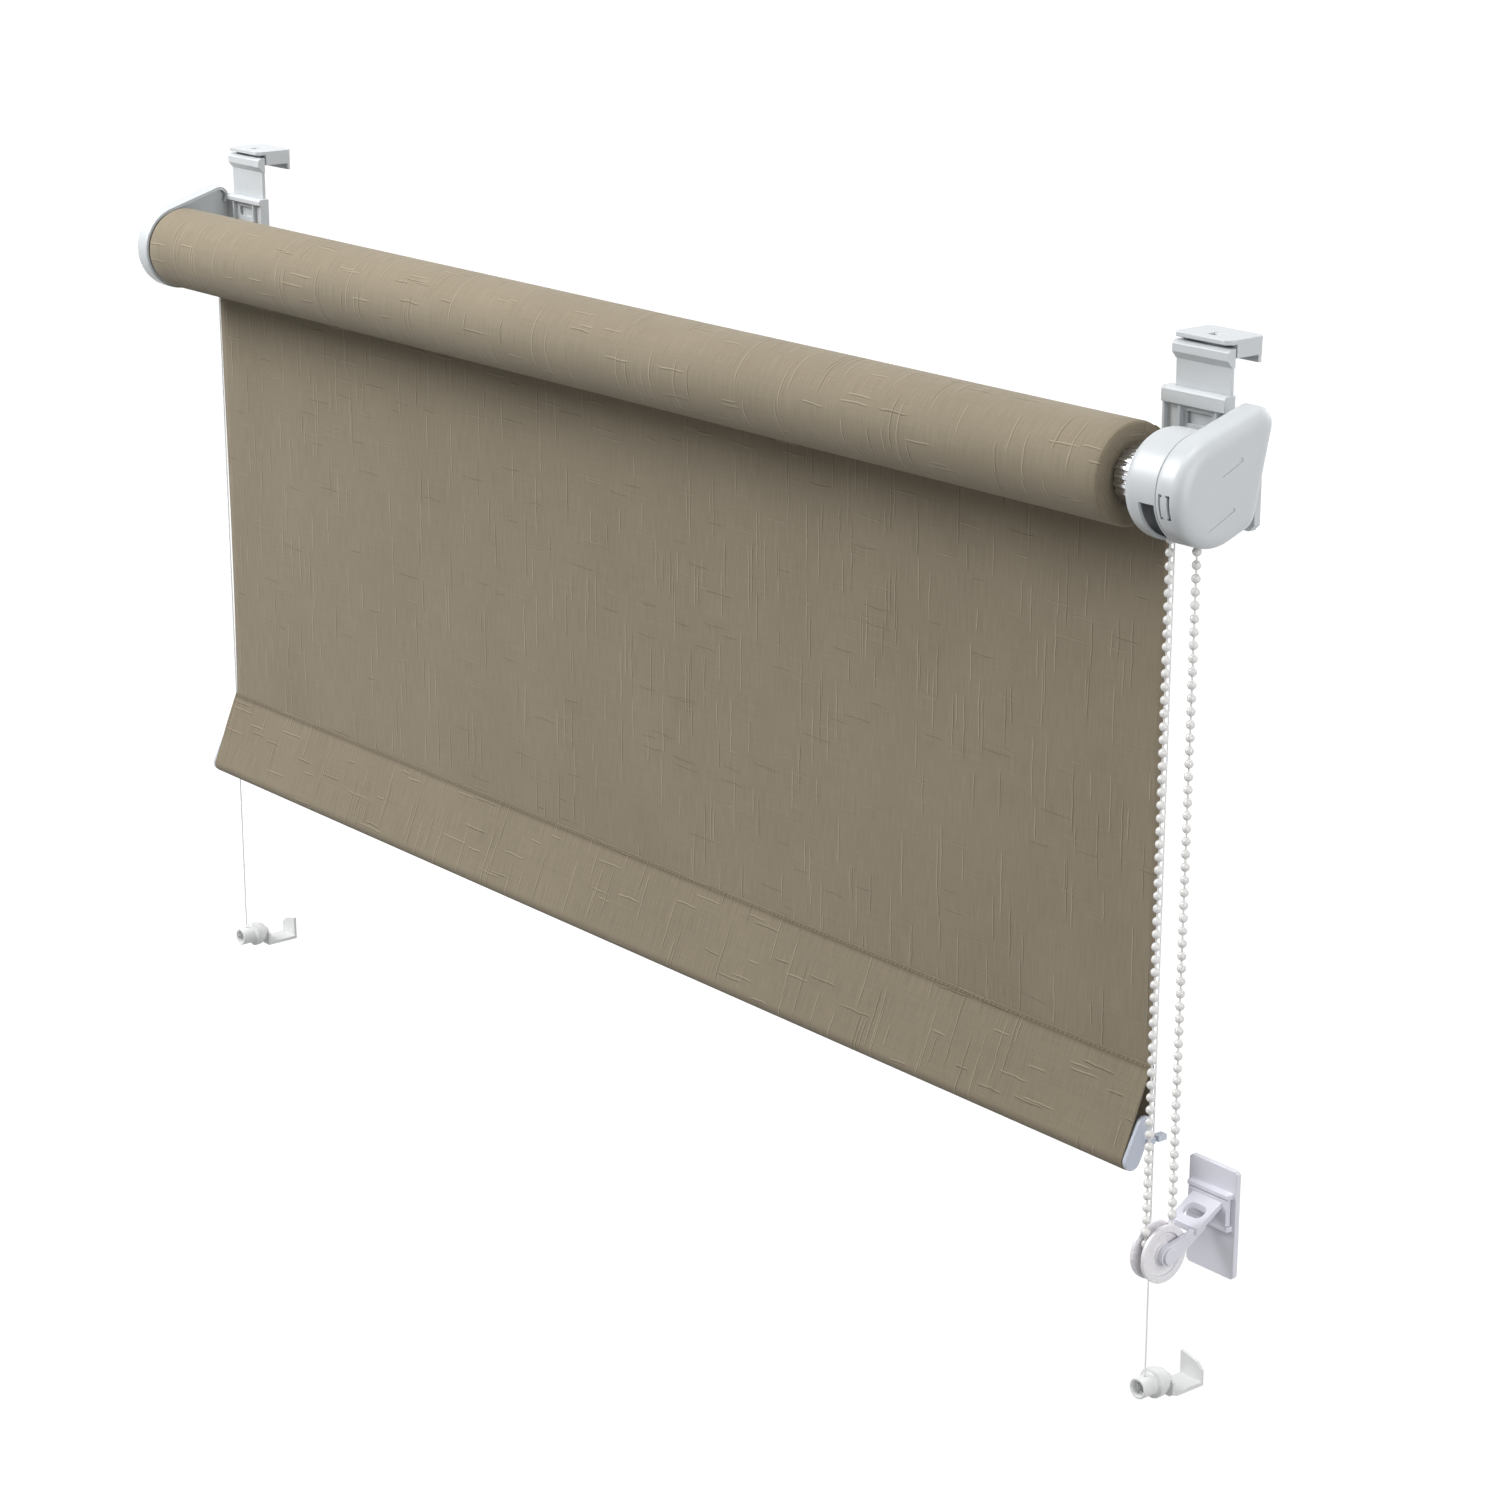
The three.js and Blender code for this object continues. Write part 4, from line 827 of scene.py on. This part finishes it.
def armNotch(end, side):
    # Room in the cover's rim for the bracket's arm.
    low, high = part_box(end + "_cover")
    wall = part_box(end + "_bracket")
    over = coverSizes["past"]
    start, reach = (low.x, wall[1].x) if side > 0 else (high.x, wall[0].x)
    x0, x1 = sorted((start - side * over, reach + side * coverSizes["armClear"]))
    return box((x0, rollAxis.y + coverSizes["armFront"], rollAxis.z + coverSizes["armBottom"]),
               (x1, high.y + over, rollAxis.z + coverSizes["armTop"]))


slotSizes = {
    "in": (1.6 * mm, 6.5 * mm), "width": (1.1 * mm, 1.7 * mm), "top": 1.5 * mm, "length": 11 * mm,
    "deep": 3.5 * mm, "tab": (0.9 * mm, -0.8 * mm), "tabHigh": 1 * mm, "tabInset": 0.02 * mm,
}
grooveSizes = {
    "width": 1.7 * mm, "depth": 0.5 * mm,
    "ends": (((0, 0.33), (0.5, 0.56)), ((-0.3, -0.6), (0.34, -0.3))),  # in drum radii from the axis
}


def coverCuts():
    # Two bracket-shaped snap slots in the front wall and two slanting grooves in the face.
    low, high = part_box("clutch_cover")
    front = rollAxis.y - drumRadius - coverSizes["past"]
    deep = rollAxis.y - drumRadius + slotSizes["deep"]
    top = rollAxis.z + slotSizes["top"]
    foot = top - slotSizes["length"]
    tabHigh, inset = slotSizes["tabHigh"], slotSizes["tabInset"]
    cuts = []
    for start, width, tab in zip(slotSizes["in"], slotSizes["width"], slotSizes["tab"]):
        x0 = low.x + start
        x1 = x0 + width
        cuts.append(box((x0, front, foot), (x1, deep, top)))
        for z0 in (top - tabHigh - inset, foot + inset):
            a, b = (x1 - width / 2, x1 + tab) if tab > 0 else (x0 + tab, x0 + width / 2)
            cuts.append(box((a, front, z0), (b, deep, z0 + tabHigh)))
    for groove in grooveSizes["ends"]:
        a, b = rollSpot + np.array(groove) * drumRadius
        across = np.array([a[1] - b[1], b[0] - a[0]]) / np.linalg.norm(b - a) * grooveSizes["width"] / 2
        outline = [a - across, b - across, b + across, a + across]
        cuts.append(prismX(outline, high.x - grooveSizes["depth"], high.x + coverSizes["past"]))
    return cuts


for end, side, cuts in (("clutch", 1, coverCuts()), ("idle", -1, [])):
    node = end + "_cover"
    cover = carved(coverShell(node, side), armNotch(end, side), *cuts)
    addPiece(end + "Cover", cover, "frame", whitePlastic, [node])
print("covers made")

# Drum that guards the chain wheel
drumSizes = {
    "wall": 1.6 * mm, "hole": 9.2 * mm, "slotBelow": 4 * mm, "slotBack": 13 * mm, "slotHalf": 4.7 * mm,
    "past": 2 * mm, "rounds": (0.3 * mm, 7.5 * mm, 0.8 * mm, 0.3 * mm, 4.5 * mm, 0.3 * mm), "sides": 144,
}
chainLow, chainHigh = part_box("bead_chain")
chainX = (chainLow.x + chainHigh.x) / 2


def chainDrum():
    # A rounded drum turned from a closed profile, with a window cut below and in front for the chain.
    low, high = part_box("chain_guard")
    wall, hole = drumSizes["wall"], drumSizes["hole"]
    inside = drumRadius - wall
    corners = [
        (low.x, hole), (low.x, drumRadius), (high.x, drumRadius), (high.x, inside),
        (low.x + wall, inside), (low.x + wall, hole),
    ]
    profile = rounded(corners, drumSizes["rounds"], steps=12)
    mesh = meshOf("chainDrum", turned(profile, rollAxis, drumSizes["sides"]), sharp=32)
    half = drumSizes["slotHalf"]
    outside = drumRadius + drumSizes["past"]
    window = box((chainX - half, rollAxis.y - outside, rollAxis.z - outside),
                 (chainX + half, rollAxis.y + drumSizes["slotBack"], rollAxis.z - drumSizes["slotBelow"]))
    return carved(mesh, window)


addPiece("chainDrum", chainDrum(), "frame", whitePlastic, ["chain_guard"])

# Fluted ring beside the roll, with the plug that fills the tube's end
ringSizes = {
    "flutes": 24, "samples": 14, "depth": 0.75 * mm, "round": 0.8 * mm, "length": 13 * mm,
    "tubeWall": 1.5 * mm, "proud": 1 * mm, "bore": 4.3 * mm, "steep": 5, "narrow": 0.1,
}


def flutedRing():
    # r = R - depth * g(a), where g is a smooth pulse repeated for each flute, on the ring alone.
    low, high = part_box("drive_plug")
    ringRadius = halfHeight("drive_plug")
    start = high.x - ringSizes["length"]
    body, bore = tubeRadius - ringSizes["tubeWall"], ringSizes["bore"]
    corners = [
        (low.x, bore), (low.x, body), (start, body), (start, ringRadius), (high.x, ringRadius),
        (high.x, bore),
    ]

    def flutes(r, a):
        wave = np.cos(ringSizes["flutes"] * a) - ringSizes["narrow"]
        pulse = 0.5 + 0.5 * np.tanh(ringSizes["steep"] * wave)
        return (r > tubeRadius + ringSizes["proud"]) * pulse * ringSizes["depth"]

    sides = ringSizes["flutes"] * ringSizes["samples"]
    profile = rounded(corners, ringSizes["round"], steps=5)
    return meshOf("flutedRing", turned(profile, rollAxis, sides, flutes), sharp=40)


addPiece("flutedRing", flutedRing(), "roller", ringAluminium, ["drive_plug"])
print("drum and fluted ring made")

# Brackets, hooks, rail caps, clips and the tensioner: body, slot, finish and edge in mm, where {} stands
# for each end
mouldings = {
    "{}_bracket": ("frame", "white_plastic", whitePlastic, 0.35),
    "{}_hook_strap": ("frame", "white_plastic", whitePlastic, 0.45),
    "{}_hook_cap": ("{}_cap", "white_plastic", whitePlastic, 0.5),
    "{}_hook_pad": ("frame", "hook_foam", hookFoam, 0.3),
    "{}_rail_cap": ("bottom_rail", "cap_plastic", capPlastic, 0.4),
    "{}_sash_clip": ("frame", "white_plastic", clipPlastic, 0.35),
    "tensioner_plate": ("frame", "tensioner_plastic", tensionerPlastic, 0.6),
    "tensioner_arm": ("frame", "tensioner_plastic", tensionerPlastic, 0.35),
    "tensioner_axle": ("frame", "tensioner_plastic", tensionerPlastic, 0.35),
    "tensioner_tape": ("frame", "tape_foam", tapeFoam, 0.1),
    "chain_sprocket": ("roller", "white_plastic", whitePlastic, 0.2),
}
ends = ("clutch", "idle")
for node, (body, slotName, finish, edge) in mouldings.items():
    for end in ends if "{}" in node else ("",):
        one = node.format(end)
        name = one.title().replace("_", "") + "Moulded"
        name = name[0].lower() + name[1:]
        addPiece(name, moulded(one), body.format(end), finish, [one], edge=edge * mm)
print("moulded pieces made")

# Wire barrels
barrelSizes = {
    "wall": 2 * mm, "mouthWall": 1.3 * mm, "mouthDeep": 3.5 * mm, "radius": 5.2 * mm, "neck": 6 * mm,
    "collarStart": 8.5 * mm, "collarRise": 0.6 * mm, "collarEnd": 4 * mm, "round": 0.5 * mm,
    "hole": 0.7 * mm, "holeSides": 24, "past": 1 * mm, "sides": 96,
}


def wireBarrel(node):
    # A closed profile of (y, r) turned round Y: open mouth, barrel, collar that tapers to the clip; then
    # the wire's hole is cut in its top.
    low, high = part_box(node)
    centre = middle(node)
    flare = halfHeight(node)
    radius = barrelSizes["radius"]
    bore, mouth = radius - barrelSizes["wall"], radius - barrelSizes["mouthWall"]
    collar = low.y + barrelSizes["collarStart"]
    mouthEnd = low.y + barrelSizes["mouthDeep"]
    corners = [
        (low.y, mouth), (low.y, radius), (collar, radius), (collar + barrelSizes["collarRise"], flare),
        (collar + barrelSizes["collarEnd"], flare), (high.y, barrelSizes["neck"]), (high.y, bore),
        (mouthEnd, bore), (mouthEnd, mouth),
    ]
    profile = rounded(corners, barrelSizes["round"])
    turn = turned(profile, centre, barrelSizes["sides"], sideways=True)
    mesh = meshOf(node + "_turned", turn, sharp=40)
    wireSpot = middle(node.replace("tension_barrel", "guide_wire"))
    a = roundTurn(barrelSizes["holeSides"])
    x = wireSpot.x + barrelSizes["hole"] * np.cos(a)
    y = wireSpot.y + barrelSizes["hole"] * np.sin(a)
    return carved(mesh, prism(spread(x, y, centre.z), spread(x, y, high.z + barrelSizes["past"])))


for end in ends:
    node = end + "_tension_barrel"
    addPiece(end + "WireBarrel", wireBarrel(node), end + "_barrel", clipPlastic, [node])

# Tensioner's wheel
wheelSizes = {
    "groove": 2.5 * mm, "floor": 6.3 * mm, "slope": (1.1 * mm, 1.3 * mm), "hub": 5.5 * mm, "rim": 10.5 * mm,
    "recess": 1.4 * mm, "bore": 2.8 * mm, "round": 0.45 * mm, "sides": 112,
}


def tensionerWheel():
    # A grooved pulley turned from a closed profile, recessed on both faces between hub and rim.
    low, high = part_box("tensioner_wheel")
    centre = middle("tensioner_wheel")
    radius = halfHeight("tensioner_wheel")
    half = (high.x - low.x) / 2
    hub, rim = wheelSizes["hub"], wheelSizes["rim"]
    groove, floor = wheelSizes["groove"], wheelSizes["floor"]
    inward, outward = wheelSizes["slope"]
    recessed = half - wheelSizes["recess"]
    right = [
        (half, wheelSizes["bore"]), (half, hub), (recessed, hub), (recessed, rim), (half, rim),
        (half, radius), (groove, radius), (groove, floor + outward), (groove - inward, floor),
    ]
    corners = np.array(right + [(-x, r) for x, r in right[::-1]])
    corners[:, 0] += centre.x
    profile = rounded(corners, wheelSizes["round"], steps=5)
    return meshOf("tensionerWheel", turned(profile, centre, wheelSizes["sides"]), sharp=40)


addPiece("tensionerWheel", tensionerWheel(), "wheel", milkyWheel, ["tensioner_wheel"])

# Ball chain
chainSizes = {
    "beadRadius": 2.15 * mm, "beads": 128, "sides": 20, "rings": 13, "cordRadius": 0.5 * mm, "cordSides": 6,
    "stepsPerBead": 3,
}
chainBend = (chainHigh.y - chainLow.y) / 2 - chainSizes["beadRadius"]
chainReach = chainSizes["beadRadius"] + chainBend
chainTop = Vector((chainX, (chainLow.y + chainHigh.y) / 2, chainHigh.z - chainReach))
chainFoot = Vector((chainX, chainTop.y, chainLow.z + chainReach))


def alongChain(share):
    # The loop at a share of its length: up the front, over the wheel, down the back, round the foot.
    straight, bend = chainTop.z - chainFoot.z, math.pi * chainBend
    marks = np.cumsum([0, straight, bend, straight, bend])
    turn = np.interp(share * marks[-1], marks, [math.pi, math.pi, 0, 0, -math.pi])
    lift = np.interp(share * marks[-1], marks, [0, straight, straight, 0, 0])
    y, z = chainBend * np.cos(turn), chainBend * np.sin(turn)
    return spread(chainX, chainFoot.y + y, chainFoot.z + lift + z)


def ballChain():
    # Balls at equal steps of the loop, strung on a thin cord: each ring of the cord lies square to it.
    count = chainSizes["beads"]
    ball = unitBall(chainSizes["rings"], chainSizes["sides"])[..., ::-1] * chainSizes["beadRadius"]
    beads = repeated(ball, alongChain(np.arange(count) / count))
    steps = count * chainSizes["stepsPerBead"]
    line = alongChain(np.arange(steps) / steps)
    ahead = np.roll(line, -1, axis=0) - np.roll(line, 1, axis=0)
    ahead /= np.linalg.norm(ahead, axis=1)[:, None]
    level = np.array([1.0, 0, 0])
    sideways = np.cross(ahead, level)[:, None, :]
    a = roundTurn(chainSizes["cordSides"])[:, None]
    ring = np.cos(a) * level + np.sin(a) * sideways
    cord = grid(line[:, None, :] + chainSizes["cordRadius"] * ring)
    return meshOf("ballChain", beads, cord, sharp=80)


addPiece("ballChain", ballChain(), "frame", milkyPlastic, ["bead_chain"])
print("barrels, wheel and chain made")

# Finishes of the CAD nodes that stay
kept = {
    "roller_tube": tubeAluminium, "fabric_spline": whitePlastic, "clutch_core": whitePlastic,
    "brake_spring_inner": springSteel, "brake_spring_outer": springSteel, "idle_pin": whitePlastic,
    "idle_plug": whitePlastic, "idle_spring": springSteel, "bottom_bar": barAluminium,
    "clutch_guide_wire": nylon, "idle_guide_wire": nylon, "clutch_wire_stop": springSteel,
    "idle_wire_stop": springSteel,
}
for node, finish in kept.items():
    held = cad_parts[node].data.materials
    held.clear()
    held.append(finish)
print("finishes given to", len(kept), "kept nodes")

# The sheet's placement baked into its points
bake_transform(clothSheetPiece)

# Floor, light and camera
room = {
    "floorBelow": 0.28, "floorSize": 14, "floorTone": 0.24, "worldLevel": 0.27,
    "glowNear": 0.76, "glowFar": 0.98, "near": 0.5, "far": 1.8,
}


def seenDirectly(tree):
    # 1 for camera, glossy and transmission rays and 0 for the rays that light the scene.
    path = tree.nodes.new("ShaderNodeLightPath")
    seen = maths(tree, "MAXIMUM", path.outputs["Is Camera Ray"], path.outputs["Is Glossy Ray"])
    return maths(tree, "MAXIMUM", seen, path.outputs["Is Transmission Ray"])


def floorMaterial():
    # Pale matt floor that camera rays see brighter, the more so further out, so that only the shadow shows.
    material = bpy.data.materials.new("paleFloor")
    material.use_nodes = True
    tree = material.node_tree
    tree.nodes.clear()
    out = tree.nodes.new("ShaderNodeOutputMaterial")
    matt = tree.nodes.new("ShaderNodeBsdfDiffuse")
    matt.inputs["Color"].default_value = (room["floorTone"],) * 3 + (1,)
    glow = tree.nodes.new("ShaderNodeEmission")
    place = tree.nodes.new("ShaderNodeTexCoord")
    away = tree.nodes.new("ShaderNodeVectorMath")
    away.operation = "LENGTH"
    tree.links.new(place.outputs["Object"], away.inputs[0])
    level = between(
        tree, away.outputs["Value"], room["near"], room["far"], room["glowNear"], room["glowFar"])
    tree.links.new(times(tree, seenDirectly(tree), level), glow.inputs["Strength"])
    both = tree.nodes.new("ShaderNodeAddShader")
    tree.links.new(matt.outputs[0], both.inputs[0])
    tree.links.new(glow.outputs[0], both.inputs[1])
    tree.links.new(both.outputs[0], out.inputs["Surface"])
    return material


def addFloor():
    half = room["floorSize"] / 2
    z = cadBox[0].z - room["floorBelow"]
    corners = [(-half, -half, z), (half, -half, z), (half, half, z), (-half, half, z)]
    mesh = bpy.data.meshes.new("floor")
    mesh.from_pydata(corners, [], [(0, 1, 2, 3)])
    mesh.materials.append(floorMaterial())
    floor = placed("floor", mesh)


def whiteWorld():
    # A plain grey-white surround that camera, glossy and transmission rays see as white.
    world = bpy.data.worlds.new("surround")
    bpy.context.scene.world = world
    world.use_nodes = True
    tree = world.node_tree
    level = maths(tree, "MULTIPLY_ADD", seenDirectly(tree), 1 - room["worldLevel"], room["worldLevel"])
    tree.nodes["Background"].inputs["Color"].default_value = (1, 1, 1, 1)
    tree.links.new(level, tree.nodes["Background"].inputs["Strength"])


lamps = {
    "key": {"place": (-1.15, -1.32, 1.15), "size": 1.1, "power": 47},
    "top": {"place": (0.1, -0.45, 1.85), "size": 1.0, "power": 16},
    "fill": {"place": (2.0, -0.25, 0.3), "size": 1.4, "power": 20},
    "back": {"place": (0.3, 1.9, 0.7), "size": 1.6, "power": 17},
}
lampAim = Vector((0, -0.02, -0.2))


def addLamp(name, place, size, power):
    light = bpy.data.lights.new(name, "AREA")
    light.size = size
    light.energy = power
    lamp = placed(name, light)
    lamp.location = place
    lamp.rotation_euler = (lampAim - Vector(place)).to_track_quat("-Z", "Y").to_euler()


photoView = {
    "place": (1.47245, -1.12674, 0.29053), "turn": 50.817, "down": 17.0, "lens": 86.047, "sensor": 36,
}


def addCamera():
    camera = bpy.data.cameras.new("photoView")
    camera.lens = photoView["lens"]
    camera.sensor_width = photoView["sensor"]
    holder = placed("photoView", camera)
    holder.location = photoView["place"]
    holder.rotation_euler = (math.radians(90 - photoView["down"]), 0, math.radians(photoView["turn"]))
    bpy.context.scene.camera = holder


addFloor()
whiteWorld()
for name, lamp in lamps.items():
    addLamp(name, **lamp)
addCamera()
bpy.context.scene.view_settings.view_transform = "Standard"
print("floor, lamps and camera placed")
